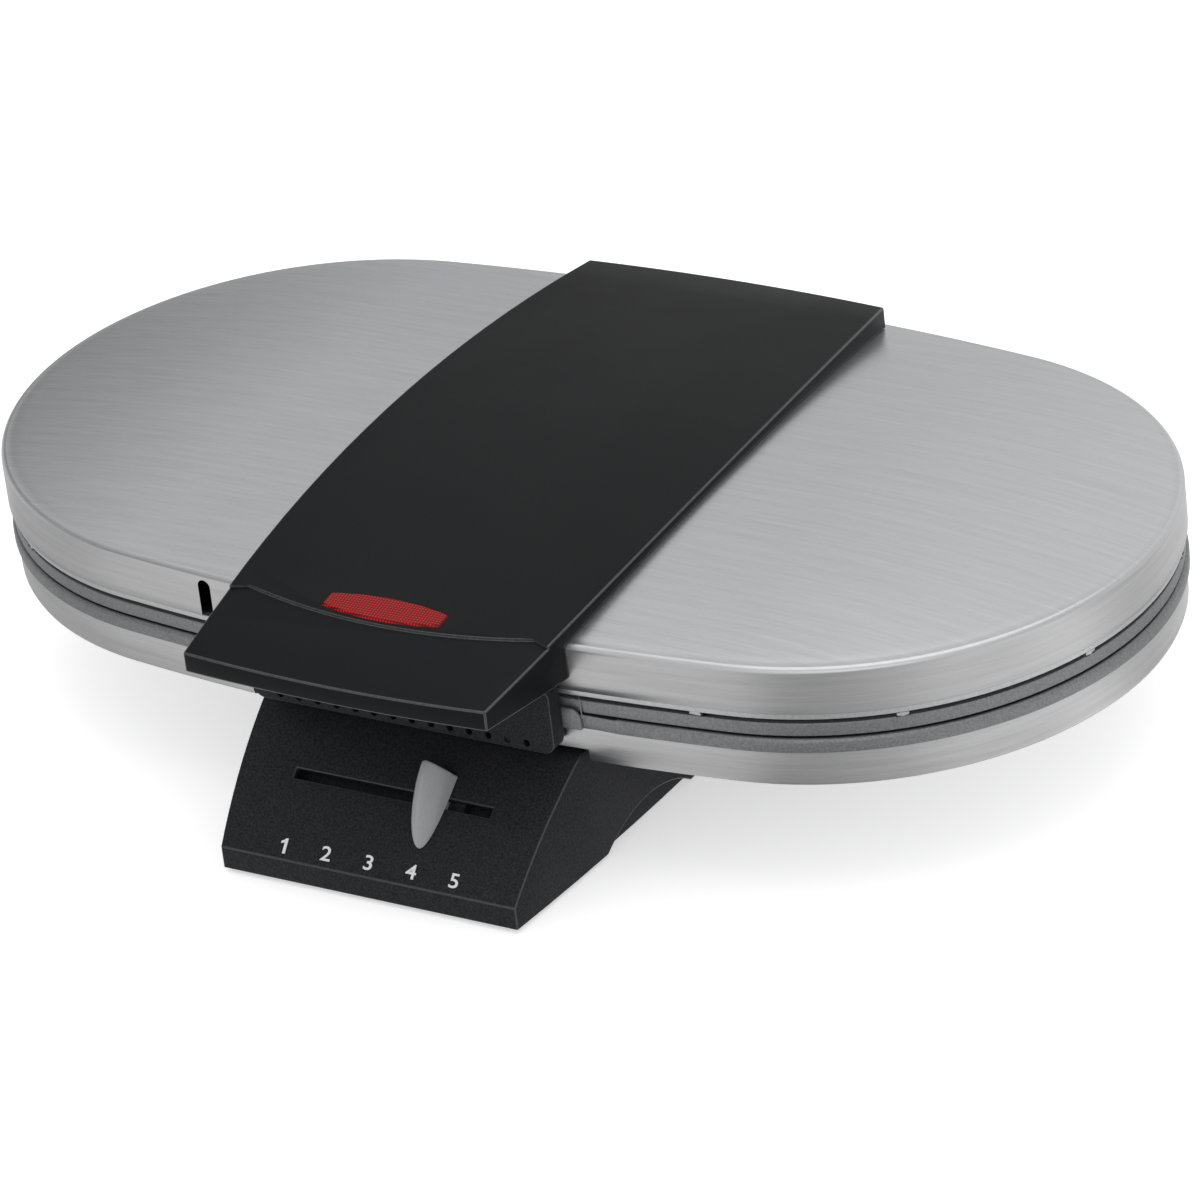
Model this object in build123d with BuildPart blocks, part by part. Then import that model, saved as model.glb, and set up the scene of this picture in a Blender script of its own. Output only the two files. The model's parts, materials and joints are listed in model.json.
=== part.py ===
from build123d import *
import math
import os

# Double waffle maker. An oval lid with a domed steel skin opens on a hinge at the back of a
# narrow pedestal base. Each half of the oval holds a pair of heart-pattern baking plates.
# Millimetres. X runs along the oval, the handle is on -Y, Z is up and the table is Z = 0.
# The pieces are drawn about the centre of the oval and saved about the middle of the whole
# outline, which lies a little nearer the handle.

# Oval outline, four tangent arcs seen from above
half_length = 200.0
half_depth = 111.0
end_radius = 105.0

# Heights above the table
parting = 57.2
rim_gap = 0.8
lower_rim_height = 4.6
upper_rim_height = 4.4
rim_groove = 3.5
lid_wall_height = 15.5
lid_rise = 9.5
lower_shell_height = 12.8
foot_height = 1.5

# Sheet and wall thicknesses, insets from the lid's outline and clearances
skin = 0.8
sheet = 1.0
wall = 2.5
shield_sheet = 0.8
lid_edge_radius = 2.0
shell_inset = 1.0
rim_inset = 1.1
fit = 0.1
gap = 0.3
running = 0.05
tight = 0.02
through = 40.0

# Barrel outline shared by the strip on the lid and the pedestal
waist_half = 61.4
barrel_radius = 1130.0
barrel_y = -17.0
pedestal_inset = 1.0

# Strip with the handle
strip_front = -150.4
strip_back = 104.5
strip_peak = 93.9
strip_peak_y = 12.0
strip_radius = 980.0
strip_crown = 2.5
lip_height = 6.9
handle_drop = 3.5
grip_wall = 2.5
crease_y = -115.3
crease_sag = 6.7
crease_half = 50.5
crease_turn = 3.75
crease_step = 0.9

# Indicator window
lens_x = -2.0
lens_y = -115.0
lens_length = 42.0
lens_height = 11.2
lens_end = 6.2
lens_proud = 0.3
lens_thickness = 2.6
lens_flange = 1.4
lamp_y = -118.0
lamp_radius = 2.6
lamp_length = 14.0
lamp_gap = 1.0
saddle_lip = 1.0
saddle_sheet = 1.2

# Pedestal and console
console_front = -147.0
console_lip = 9.2
console_mid_y = -128.3
console_mid_z = 27.0
console_top_y = -106.6
brow_top = 41.5
brow_back = -99.0
pedestal_back = 131.0
arch_y = -75.0
arch_width = 48.0
arch_rise = 8.0
bay_half_width = 50.0
bay_half_depth = 74.0

# Temperature slider
slot_y = -127.0
slot_length = 70.6
slot_width = 3.4
marks = 5
mark_pitch = 15.3
rest_step = 1
knob_length = 26.0
knob_above_slot = 10.4
knob_width = 9.2
knob_height = 10.0
knob_tip_height = 1.4
stem_length = 6.6
carriage_length = 18.0
carriage_width = 16.0
carriage_thickness = 3.0
guide_length = 96.0
guide_width = 26.0
guide_thickness = 2.2
guide_boss_edge = 4.0
drive_pin_radius = 1.5
drive_pin_y = -126.5

# Thermostat
pivot_y = -37.0
spindle_radius = 3.0
lever_z = 9.0
lever_thickness = 2.0
lever_width = 10.0
lever_slot_width = 5.0
thermostat_size = (30.0, 26.0)
thermostat_base = 27.0
stud_radius = 5.0

# Baking plates
plate_split = 0.4
cavity_radius = 79.0
cavity_wall = 4.0
cavity_depth = 6.5
plate_floor = 3.5
ridge_top = 1.5
peg_top = 4.0
peg_size = 5.0
peg_pitch = 9.6
peg_gap = 0.7
hearts = 5
heart_tip = 9.0
lobe_out = 55.0
lobe_side = 16.0
lobe_radius = 17.5
channel_radius = 87.0
channel_width = 3.0
channel_depth = 1.0
ear_half = 60.0
ear_height = 2.5
ear_front = 0.6
ear_radius = 4.0
tab_width = 4.0
tab_depth = 3.2
tab_pitch = 44.4
tabs_per_end = 5
seat_height = 2.0
seat_inset = 0.7
groove_depth = 2.4
groove_wall = 2.0
post_x = 12.0
lower_post_y = 60.0
upper_post_y = 92.0
post_radius = 5.0

# Tubular heaters
heater_ring = 52.0
heater_radius = 2.8
heater_bed = 0.6
heater_gap = 15.0
terminal_radius = 2.0
terminal_length = 12.0
terminal_clearance = 1.0

# Hinge
hinge_y = 119.0
hinge_z = 58.0
hinge_pin_radius = 2.5
arm_x = 36.0
arm_width = 5.0
arm_eye = 6.5
tower_half = 12.0
arm_slot = 6.0
lid_arm_slot = 7.0
tower_radius = 6.8
rest_ledge = 7.2
rest_start = 7.5
arm_reach = 72.0
arm_neck = 3.9
arm_screw_edge = 6.0
arm_screw_pitch = 16.0

# Lid frame and fasteners
frame_half = 40.0
frame_depth = 100.0
frame_thickness = 2.0
frame_drop = 4.7
frame_corner = 6.0
strip_boss_x = 22.0
strip_boss_y = 88.0
strip_boss_radius = 4.5
screw_radius = 1.5
screw_head_radius = 3.2
screw_head = 2.2
shell_screw_x = 30.0
shell_screw_y = 90.0
guard_screw_x = 38.0
cover_post_x = 43.0
cover_post_front = -98.0
cover_post_back = 100.0

# Front guard
guard_half = 54.0
guard_front = -116.5
guard_bottom = 46.0
guard_hole = 1.2
guard_hole_pitch = 6.8
guard_holes = 14
guard_drop = 0.8
notch_half = 60.5
notch_height = 5.2
notch_depth = 13.0
notch_margin = 2.0

# Feet and bottom cover
foot_radius = 8.0
foot_stem = 3.0
foot_x = 41.0
foot_front = -131.0
foot_back = 116.0
cover_thickness = 2.2

# Cord gland
gland_x = 30.0
gland_z = 15.0
gland_radius = 6.0

# Small mouldings and fittings
shell_post_drop = 7.0
skirt = 1.6
skirt_lap = 4.0
vent_pitch = 7.0
vent_gap = 30.0
vents = 9
vent_rows = 3
vent_length = 18.0
vent_width = 2.4
foot_barb = 1.5
foot_lip = 1.0
thin_head = 1.2
shield_inset = 12.0
ear_back = 0.5
shield_post_ring = 66.0
shield_posts = 3
shield_post_radius = 4.0
vent_slot_x = 73.5
vent_slot_width = 4.7
vent_slot_height = 13.3
lead_hole_z = 76.0
lead_hole_radius = 3.0
liner_thickness = 2.0
liner_screw_x = 38.0
liner_screw_y = -133.0
liner_boss_radius = 4.0
arm_depth = 8.0
pin_tail = 2.5
pin_head = 1.2
pin_head_radius = 4.0
guard_wall = 1.4
guard_boss_radius = 2.8
guard_boss_length = 6.4
guard_screw_rise = 2.8
guard_screw_seat = 1.0
spindle_seat = 4.0
lever_hub = 7.0
lever_hub_height = 4.0
lever_tip = 6.0
fuse_y = 35.0
fuse_radius = 2.2
fuse_length = 11.0
clip_side = 1.5
clip_top = 1.0
terminal_y = 88.0
terminal_size = (36.0, 16.0, 14.0)
wire_bore = 2.2
clamp_bore = 2.4
clamp_depth = 4.0
gland_flange = 2.0
gland_lip = 2.5
gland_nose = 2.0
gland_bore = 3.6
guide_depth = 3.8
guide_boss_radius = 3.5
guide_lip_gap = 0.7
drive_slot = 6.0
stem_width = 2.8
carriage_gap = 0.5
knob_gap = 0.3
spine = 0.72
knob_taper = 2.4
knob_fall = 1.7
knob_stations = (0.0, 0.2, 0.4, 0.6, 0.78, 0.91, 0.985)

# Screw lengths under the head
base_screw_length = 11.0
shell_screw_length = 8.0
plate_screw_length = 10.0
shield_screw_length = 3.4
strip_screw_length = 8.0
liner_screw_length = 7.0
arm_screw_length = 6.0
guard_screw_length = 6.0
guide_screw_length = 7.0

BOTTOM = (Align.CENTER, Align.CENTER, Align.MIN)
TOP = (Align.CENTER, Align.CENTER, Align.MAX)

# Worked out from the sizes above
end_centre = half_length - end_radius
long_radius = (end_centre**2 + half_depth**2 - end_radius**2) / (2 * (half_depth - end_radius))
lower_rim_top = parting - rim_gap / 2
lower_rim_bottom = lower_rim_top - lower_rim_height
upper_rim_bottom = parting + rim_gap / 2
upper_rim_top = upper_rim_bottom + upper_rim_height
lid_bottom = upper_rim_top + rim_groove
lid_edge = lid_bottom + lid_wall_height
shell_bottom = lower_rim_bottom - lower_shell_height
shell_floor = shell_bottom + sheet
shield_top = shell_floor + shield_sheet
frame_bottom = lid_edge - frame_drop - frame_thickness
frame_top = frame_bottom + frame_thickness
cover_top = foot_height + cover_thickness
lower_cavity_floor = parting - cavity_depth
lower_plate_bottom = lower_cavity_floor - plate_floor
upper_cavity_floor = parting + cavity_depth
upper_plate_top = upper_cavity_floor + plate_floor
lower_heater_z = lower_plate_bottom - heater_bed
upper_heater_z = upper_plate_top + heater_bed
upper_shield_z = upper_heater_z + heater_radius + gap
pedestal_top = shell_bottom
rest_x = rest_step * mark_pitch
half_travel = (marks - 1) / 2 * mark_pitch
tower_front_y = hinge_y - tower_radius
guard_screw_z = guard_bottom + guard_screw_rise
outline_shift = -(strip_front - strip_crown + pedestal_back + gland_flange) / 2
terminal_x = end_centre - heater_ring * math.cos(math.radians(heater_gap))
terminal_reach = heater_ring * math.sin(math.radians(heater_gap))

# Places shared by the pieces that are fastened together
cover_post_ys = (cover_post_front, cover_post_back)
cover_posts = [(x, y) for x in (-cover_post_x, cover_post_x) for y in cover_post_ys]
shell_screw_ys = (-shell_screw_y, shell_screw_y)
shell_screw_spots = [(x, y) for x in (-shell_screw_x, shell_screw_x) for y in shell_screw_ys]
lower_posts = [(x, y) for x in (-post_x, post_x) for y in (-lower_post_y, lower_post_y)]
upper_posts = [(x, y) for x in (-post_x, post_x) for y in (-upper_post_y, upper_post_y)]
strip_bosses = [(x, y) for x in (-strip_boss_x, strip_boss_x) for y in (-strip_boss_y, strip_boss_y)]
terminals = [(x, y) for x in (-terminal_x, terminal_x) for y in (-terminal_reach, terminal_reach)]
liner_screw_spots = [(-liner_screw_x, liner_screw_y), (liner_screw_x, liner_screw_y)]
arm_screw_ys = (arm_reach + arm_screw_edge, arm_reach + arm_screw_edge + arm_screw_pitch)
arm_screw_spots = [(x, y) for x in (-arm_x, arm_x) for y in arm_screw_ys]
guard_screw_spots = (-guard_screw_x, guard_screw_x)
guide_spots = [(guide_boss_edge - guide_length / 2, 0), (guide_length / 2 - guide_boss_edge, 0)]


def barrel_x(y, inset=0.0):
    """Half-width of the barrel outline at a depth y."""
    radius = barrel_radius - inset
    return math.sqrt(radius**2 - (y - barrel_y) ** 2) - barrel_radius + waist_half


def strip_z(y, drop=0.0):
    """Height of the strip's arched top at a depth y, or of an arc drop below it."""
    radius = strip_radius - drop
    return strip_peak - strip_radius + math.sqrt(radius**2 - (y - strip_peak_y) ** 2)


def lid_height(inset):
    """Height of the lid's dome at a distance inward from its outline."""
    share = 1 - min(inset, end_radius) / end_radius
    return lid_edge + lid_rise * (1 - share**2)


def oval(inset=0.0, mode=Mode.ADD):
    """Face of the oval outline, in the sketch that is open."""
    end = end_radius - inset
    lean = math.acos(end_centre / (long_radius - end_radius))
    x = end_centre + end * math.cos(lean)
    y = end * math.sin(lean)
    with BuildLine() as outline:
        ThreePointArc((-x, y), (0, half_depth - inset), (x, y))
        ThreePointArc((x, y), (half_length - inset, 0), (x, -y))
        ThreePointArc((x, -y), (0, inset - half_depth), (-x, -y))
        ThreePointArc((-x, -y), (inset - half_length, 0), (-x, y))
    make_face(outline.edges(), mode=mode)


def half_oval(side, inset=0.0):
    """Right (side = 1) or left (side = -1) half of the oval, cut at the plate split."""
    oval(inset)
    with Locations((side * (plate_split + half_length), 0)):
        Rectangle(2 * half_length, 4 * half_depth, mode=Mode.INTERSECT)


def barrel(front, back, inset=0.0, bow=(0.0, 0.0), mode=Mode.ADD):
    """Face of the barrel outline between two depths, its front and back edges bowed outward."""
    middle = (front + back) / 2
    front_x, middle_x, back_x = (barrel_x(y, inset) for y in (front, middle, back))
    with BuildLine() as outline:
        ThreePointArc((front_x, front), (middle_x, middle), (back_x, back))
        ThreePointArc((-back_x, back), (-middle_x, middle), (-front_x, front))
        for edge, end_x, end_y in ((bow[0], front_x, front), (-bow[1], back_x, back)):
            if edge:
                ThreePointArc((-end_x, end_y), (0, end_y - edge), (end_x, end_y))
            else:
                Line((-end_x, end_y), (end_x, end_y))
    make_face(outline.edges(), mode=mode)


def front_y(x, inset=0.0):
    """Depth of the oval's front edge at a distance x along it, near its middle."""
    return long_radius - half_depth - math.sqrt((long_radius - inset) ** 2 - x**2)


def dome(inset, bottom, drop, mode=Mode.ADD):
    """Solid under the domed lid, inset from its wall and dropped from its top."""
    with BuildSketch(Plane.XY.offset(bottom)) as foot:
        oval(inset)
    extrude(foot.sketch, amount=lid_edge - drop - bottom, mode=mode)
    sections = []
    for step in (0.0, 22.0, 50.0, 78.0, 98.0):
        with BuildSketch(Plane.XY.offset(lid_height(step) - drop)) as section:
            oval(inset + step)
        sections.append(section.sketch)
    loft(sections, mode=mode)


def screw(length, head=screw_head):
    """Pan-head screw along +Z with the underside of its head at the origin."""
    Cylinder(screw_head_radius, head, align=TOP)
    Cylinder(screw_radius, length, align=BOTTOM)


def save(part, name):
    """Label a finished piece, place it about the outline's middle and write its STEP file."""
    part.part.label = name
    part.part.position += (0, outline_shift, 0)
    export_step(part.part, f"parts/{name}.step")


os.makedirs("parts", exist_ok=True)

# Console arc: its centre from three points of the side profile
ax, ay = console_front, console_lip
bx, by = console_mid_y, console_mid_z
cx, cy = console_top_y, brow_top
turn = 2 * (ax * (by - cy) + bx * (cy - ay) + cx * (ay - by))
sa, sb, sc = ax**2 + ay**2, bx**2 + by**2, cx**2 + cy**2
console_y = (sa * (by - cy) + sb * (cy - ay) + sc * (ay - by)) / turn
console_z = (sa * (cx - bx) + sb * (ax - cx) + sc * (bx - ax)) / turn
console_radius = math.hypot(ax - console_y, ay - console_z)


def console_height(y, depth=0.0):
    """Height of the console's curved face at a depth y, or of an arc inside it."""
    return console_z + math.sqrt((console_radius - depth) ** 2 - (y - console_y) ** 2)


slot_z = console_height(slot_y)
slope = math.asin((console_y - slot_y) / console_radius)
panel = Plane((0, slot_y, slot_z), x_dir=(1, 0, 0), z_dir=(0, -math.sin(slope), math.cos(slope)))
panel_at_rest = Plane(panel.from_local_coords((rest_x, 0, 0)), x_dir=(1, 0, 0), z_dir=panel.z_dir)


def side_profile(inside):
    """Side view of the pedestal, inside its walls where asked, on the open YZ sketch."""
    front = console_front + inside
    back = pedestal_back - inside
    top = pedestal_top - inside
    brow = brow_top - inside
    step = brow_back - inside
    radius = console_radius - inside
    start = console_height(front, inside)
    end = console_y - math.sqrt(radius**2 - (brow - console_z) ** 2)
    middle = (front + end) / 2
    with BuildLine() as outline:
        Line((front, foot_height), (front, start))
        ThreePointArc((front, start), (middle, console_height(middle, inside)), (end, brow))
        Polyline((end, brow), (step, brow), (step, top), (back, top))
        Polyline((back, top), (back, foot_height), (front, foot_height))
    make_face(outline.edges())


def pedestal(inside):
    """Pedestal solid, inside the outer faces of its walls where asked."""
    with BuildPart() as block:
        with BuildSketch(Plane.YZ.offset(-waist_half)):
            side_profile(inside)
        extrude(amount=2 * waist_half)
        with BuildSketch(Plane.XY):
            barrel(console_front + inside, pedestal_back - inside, pedestal_inset + inside)
        extrude(amount=brow_top, mode=Mode.INTERSECT)
    return block.part


# Base housing: pedestal, console and hinge towers in one moulding
pedestal_outer = pedestal(0)
pedestal_hollow = pedestal(wall)
guide_top = panel.offset(-wall - guide_depth)
with BuildPart() as base_housing:
    add(pedestal_outer)
    add(pedestal_hollow, mode=Mode.SUBTRACT)
    with BuildSketch(Plane.XY.offset(pedestal_top - wall - 1)):
        Rectangle(2 * bay_half_width, 2 * bay_half_depth)
    extrude(amount=wall + 2, mode=Mode.SUBTRACT)
    arch_radius = (arch_width**2 / 4 + arch_rise**2) / (2 * arch_rise)
    with BuildSketch(Plane.YZ.offset(-waist_half)):
        with Locations((arch_y, foot_height + arch_rise - arch_radius)):
            Circle(arch_radius)
    extrude(amount=2 * waist_half, mode=Mode.SUBTRACT)
    with BuildSketch(Plane.XY.offset(cover_top)):
        with Locations(*cover_posts):
            Circle(post_radius)
    extrude(amount=pedestal_top - wall / 2 - cover_top)
    with BuildSketch(Plane.XY.offset(pedestal_top - wall - shell_post_drop)):
        with Locations(*shell_screw_spots):
            Circle(post_radius)
    extrude(amount=shell_post_drop + wall / 2)
    for side in (-1, 1):
        with BuildSketch(Plane.YZ.offset(side * arm_x - tower_half)):
            with BuildLine():
                RadiusArc((tower_front_y, hinge_z), (hinge_y, hinge_z + tower_radius), tower_radius)
                Polyline(
                    (hinge_y, hinge_z + tower_radius),
                    (hinge_y + rest_start, hinge_z + rest_ledge),
                    (pedestal_back, hinge_z + rest_ledge),
                    (pedestal_back, pedestal_top - wall),
                    (tower_front_y, pedestal_top - wall),
                    (tower_front_y, hinge_z),
                )
            make_face()
        extrude(amount=2 * tower_half)
    with Locations((-arm_x, hinge_y, hinge_z - arm_eye - gap), (arm_x, hinge_y, hinge_z - arm_eye - gap)):
        Box(arm_slot, through, through, align=(Align.CENTER, Align.CENTER, Align.MIN), mode=Mode.SUBTRACT)
    with Locations((-arm_x, hinge_y, hinge_z), (arm_x, hinge_y, hinge_z)):
        Cylinder(hinge_pin_radius + tight, 3 * tower_half, rotation=(0, 90, 0), mode=Mode.SUBTRACT)
    with Locations(*[(x, y, cover_top) for x, y in cover_posts]):
        Cylinder(screw_radius + fit, base_screw_length, align=BOTTOM, mode=Mode.SUBTRACT)
    with Locations(*[(x, y, pedestal_top) for x, y in shell_screw_spots]):
        Cylinder(screw_radius + fit, shell_screw_length, align=TOP, mode=Mode.SUBTRACT)
    with BuildSketch(guide_top):
        with Locations(*guide_spots):
            Circle(guide_boss_radius)
    extrude(amount=guide_depth + wall / 2)
    with BuildSketch(panel):
        Rectangle(slot_length, slot_width)
    extrude(amount=2 * wall, both=True, mode=Mode.SUBTRACT)
    with BuildSketch(guide_top):
        with Locations(*guide_spots):
            Circle(screw_radius + fit)
    extrude(amount=guide_screw_length - guide_thickness, mode=Mode.SUBTRACT)
    with Locations((gland_x, pedestal_back, gland_z)):
        Cylinder(gland_radius + fit, 4 * wall, rotation=(90, 0, 0), mode=Mode.SUBTRACT)
save(base_housing, "base_housing")

# Bottom cover with its vents and the skirts that stand behind the arches
cover_inset = pedestal_inset + wall + gap
cover_front = console_front + wall + gap
cover_back = pedestal_back - wall - gap
feet = [(x, y) for x in (-foot_x, foot_x) for y in (foot_front, foot_back)]
with BuildPart() as bottom_cover:
    with BuildSketch(Plane.XY.offset(foot_height)):
        barrel(cover_front, cover_back, cover_inset)
    extrude(amount=cover_thickness)
    with BuildSketch(Plane.XY.offset(foot_height)):
        barrel(cover_front, cover_back, cover_inset)
        barrel(cover_front - through, cover_back + through, cover_inset + skirt, mode=Mode.SUBTRACT)
        with Locations((0, arch_y)):
            Rectangle(2 * waist_half, arch_width + 2 * skirt_lap, mode=Mode.INTERSECT)
    extrude(amount=arch_rise + skirt_lap)
    with BuildSketch(Plane.XY.offset(foot_height)):
        with GridLocations(vent_pitch, vent_gap, vents, vent_rows):
            SlotOverall(vent_length, vent_width, rotation=90)
        with Locations(*cover_posts):
            Circle(screw_radius + fit)
        with Locations(*feet):
            Circle(foot_stem + fit)
    extrude(amount=cover_thickness, mode=Mode.SUBTRACT)
save(bottom_cover, "bottom_cover")

# Four rubber feet, each with a stem through the bottom cover
foot_names = ("foot_front_left", "foot_rear_left", "foot_front_right", "foot_rear_right")
for name, (x, y) in zip(foot_names, feet):
    with BuildPart() as foot:
        with BuildSketch(Plane.XY):
            with Locations((x, y)):
                Circle(foot_radius)
        extrude(amount=foot_height)
        with BuildSketch(Plane.XY.offset(foot_height)):
            with Locations((x, y)):
                Circle(foot_stem)
        extrude(amount=cover_thickness + fit)
        with BuildSketch(Plane.XY.offset(cover_top + fit)):
            with Locations((x, y)):
                Circle(foot_stem + foot_lip)
        extrude(amount=foot_barb)
        chamfer(foot.faces().sort_by(Axis.Z)[0].edges(), foot_height / 3)
    save(foot, name)

# Screws that hold the bottom cover
with BuildPart() as base_screws:
    with Locations(*[Location((x, y, foot_height)) for x, y in cover_posts]):
        screw(base_screw_length, thin_head)
save(base_screws, "base_screws")

# Lower steel shell, an oval pan with a notch over the console
pan_steps = ((0.0, lower_shell_height), (0.3, 2.4), (1.0, 0.8), (2.6, 0.0))
with BuildPart() as lower_shell:
    for inset, rise in pan_steps:
        with BuildSketch(Plane.XY.offset(shell_bottom + rise)):
            oval(shell_inset + inset)
    loft(ruled=True)
    for inset, rise in pan_steps:
        level = max(shell_floor, shell_bottom + rise + sheet * (rise < lower_shell_height) / 2)
        with BuildSketch(Plane.XY.offset(level)):
            oval(shell_inset + sheet + inset)
    loft(ruled=True, mode=Mode.SUBTRACT)
    with Locations((0, -half_depth, shell_bottom)):
        Box(2 * notch_half, 2 * notch_depth, 2 * notch_height, mode=Mode.SUBTRACT)
    with BuildSketch(Plane.XY.offset(shell_bottom)):
        with Locations(*shell_screw_spots, *lower_posts):
            Circle(screw_radius + fit)
        with Locations((0, pivot_y)):
            Circle(stud_radius + gap)
        with Locations(*terminals):
            Circle(terminal_radius + terminal_clearance)
    extrude(amount=sheet, mode=Mode.SUBTRACT)
    with Locations(*[(x, -half_depth, guard_screw_z) for x in guard_screw_spots]):
        Cylinder(screw_radius + fit, through, rotation=(90, 0, 0), mode=Mode.SUBTRACT)
save(lower_shell, "lower_shell")

# Heat shield on the floor of the pan
with BuildPart() as lower_heat_shield:
    with BuildSketch(Plane.XY.offset(shell_floor)):
        oval(shell_inset + shield_inset)
        with Locations((0, -half_depth)):
            Rectangle(2 * (notch_half + notch_margin), 2 * (notch_depth + notch_margin), mode=Mode.SUBTRACT)
        with Locations(*shell_screw_spots, *lower_posts):
            Circle(screw_radius + fit, mode=Mode.SUBTRACT)
        with Locations((0, pivot_y)):
            Circle(stud_radius + gap, mode=Mode.SUBTRACT)
        with Locations(*terminals):
            Circle(terminal_radius + terminal_clearance, mode=Mode.SUBTRACT)
    extrude(amount=shield_sheet)
save(lower_heat_shield, "lower_heat_shield")

# Screws from the pan into the pedestal
with BuildPart() as shell_screws:
    with Locations(*[Location((x, y, shield_top), (180, 0, 0)) for x, y in shell_screw_spots]):
        screw(shell_screw_length)
save(shell_screws, "shell_screws")

# Heart outline, tip on the centre of the rosette, lobes outward along +X
reach = math.hypot(lobe_out - heart_tip, lobe_side)
flank = math.atan2(lobe_side, lobe_out - heart_tip) + math.asin(lobe_radius / reach)
flank_length = math.sqrt(reach**2 - lobe_radius**2)
shoulder = (heart_tip + flank_length * math.cos(flank), flank_length * math.sin(flank))
cleft = lobe_out + math.sqrt(lobe_radius**2 - lobe_side**2)
bulge = (math.degrees(flank) + 90 - math.degrees(math.asin(lobe_side / lobe_radius))) / 2
crest = (
    lobe_out + lobe_radius * math.cos(math.radians(bulge)),
    lobe_side + lobe_radius * math.sin(math.radians(bulge)),
)
with BuildSketch() as heart:
    with BuildLine():
        Line((heart_tip, 0), shoulder)
        ThreePointArc(shoulder, crest, (cleft, 0))
        ThreePointArc((cleft, 0), (crest[0], -crest[1]), (shoulder[0], -shoulder[1]))
        Line((shoulder[0], -shoulder[1]), (heart_tip, 0))
    make_face()


def inside_heart(along, across):
    """Whether a peg centred here stands clear of the heart's edge."""
    margin = peg_size / math.sqrt(2) + peg_gap
    if math.hypot(along - lobe_out, abs(across) - lobe_side) < lobe_radius - margin:
        return True
    depth = (along - heart_tip) * math.sin(flank) - abs(across) * math.cos(flank)
    return depth > margin and along <= lobe_out


peg_rows = [i * peg_pitch + heart_tip - peg_size for i in range(1, int(cavity_radius / peg_pitch) + 1)]
peg_columns = [j * peg_pitch for j in range(-2, 3)]
pegs = [(along, across) for along in peg_rows for across in peg_columns if inside_heart(along, across)]


def casting(side, rim_height):
    """Baking plate of one half, baking side up, its rim ending half the gap below the parting."""
    centre = (side * end_centre, 0)
    floor = Plane.XY.offset(lower_cavity_floor)
    with BuildPart() as plate:
        with BuildSketch(Plane.XY.offset(lower_rim_top - rim_height)):
            half_oval(side, rim_inset)
        extrude(amount=rim_height)
        with BuildSketch(Plane.XY.offset(lower_plate_bottom)):
            with Locations(centre):
                Circle(cavity_radius + cavity_wall)
        extrude(amount=lower_rim_top - lower_plate_bottom)
        with BuildSketch(floor):
            with Locations(centre):
                Circle(cavity_radius)
        extrude(amount=cavity_depth, mode=Mode.SUBTRACT)
        with BuildSketch(floor):
            with Locations(centre):
                Circle(cavity_radius)
                with PolarLocations(0, hearts, start_angle=90):
                    add(heart.sketch, mode=Mode.SUBTRACT)
        extrude(amount=cavity_depth - ridge_top)
        with BuildSketch(floor):
            with Locations(centre):
                with PolarLocations(0, hearts, start_angle=90):
                    with Locations(*pegs):
                        Rectangle(peg_size, peg_size)
        extrude(amount=cavity_depth - peg_top)
        with BuildSketch(Plane.XY.offset(lower_rim_top)):
            with Locations(centre):
                Circle(channel_radius + channel_width)
                Circle(channel_radius, mode=Mode.SUBTRACT)
        extrude(amount=-channel_depth, mode=Mode.SUBTRACT)
        with Locations((side * end_centre, 0, lower_heater_z)):
            Torus(heater_ring, heater_radius + fit, mode=Mode.SUBTRACT)
    return plate.part


# Raised front lip of the lower castings, with rounded upper corners
with BuildPart() as ear:
    with BuildSketch(Plane.XZ.offset(half_depth - 2 * ear_radius)):
        with Locations((0, lower_rim_bottom)):
            RectangleRounded(2 * ear_half, 2 * (lower_rim_height + ear_height), ear_radius)
    extrude(amount=4 * ear_radius)
    with BuildSketch(Plane.XY.offset(lower_rim_bottom)):
        oval(-ear_front)
        oval(ear_back, Mode.SUBTRACT)
    extrude(amount=lower_rim_height + ear_height, mode=Mode.INTERSECT)
    with BuildSketch(Plane.XY.offset(lower_rim_bottom)):
        oval(ear_back)
        oval(rim_inset + ear_radius, Mode.SUBTRACT)
        with Locations((0, -half_depth)):
            Rectangle(2 * ear_half, 6 * ear_radius, mode=Mode.INTERSECT)
    extrude(amount=lower_rim_height)

sides = {"left": -1, "right": 1}
lower_castings = {name: casting(side, lower_rim_height) for name, side in sides.items()}
upper_castings = {name: casting(side, upper_rim_height) for name, side in sides.items()}

# Lower baking plates
for name, side in sides.items():
    with BuildPart() as lower_plate:
        add(ear.part)
        with Locations((side * (plate_split + half_length), 0, parting)):
            Box(2 * half_length, 4 * half_depth, through, mode=Mode.INTERSECT)
        add(lower_castings[name])
        with BuildSketch(Plane.XY.offset(shield_top)):
            with Locations((side * post_x, -lower_post_y), (side * post_x, lower_post_y)):
                Circle(post_radius)
                Circle(screw_radius + fit, mode=Mode.SUBTRACT)
        extrude(amount=lower_rim_bottom - shield_top)
    save(lower_plate, f"lower_plate_{name}")

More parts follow.
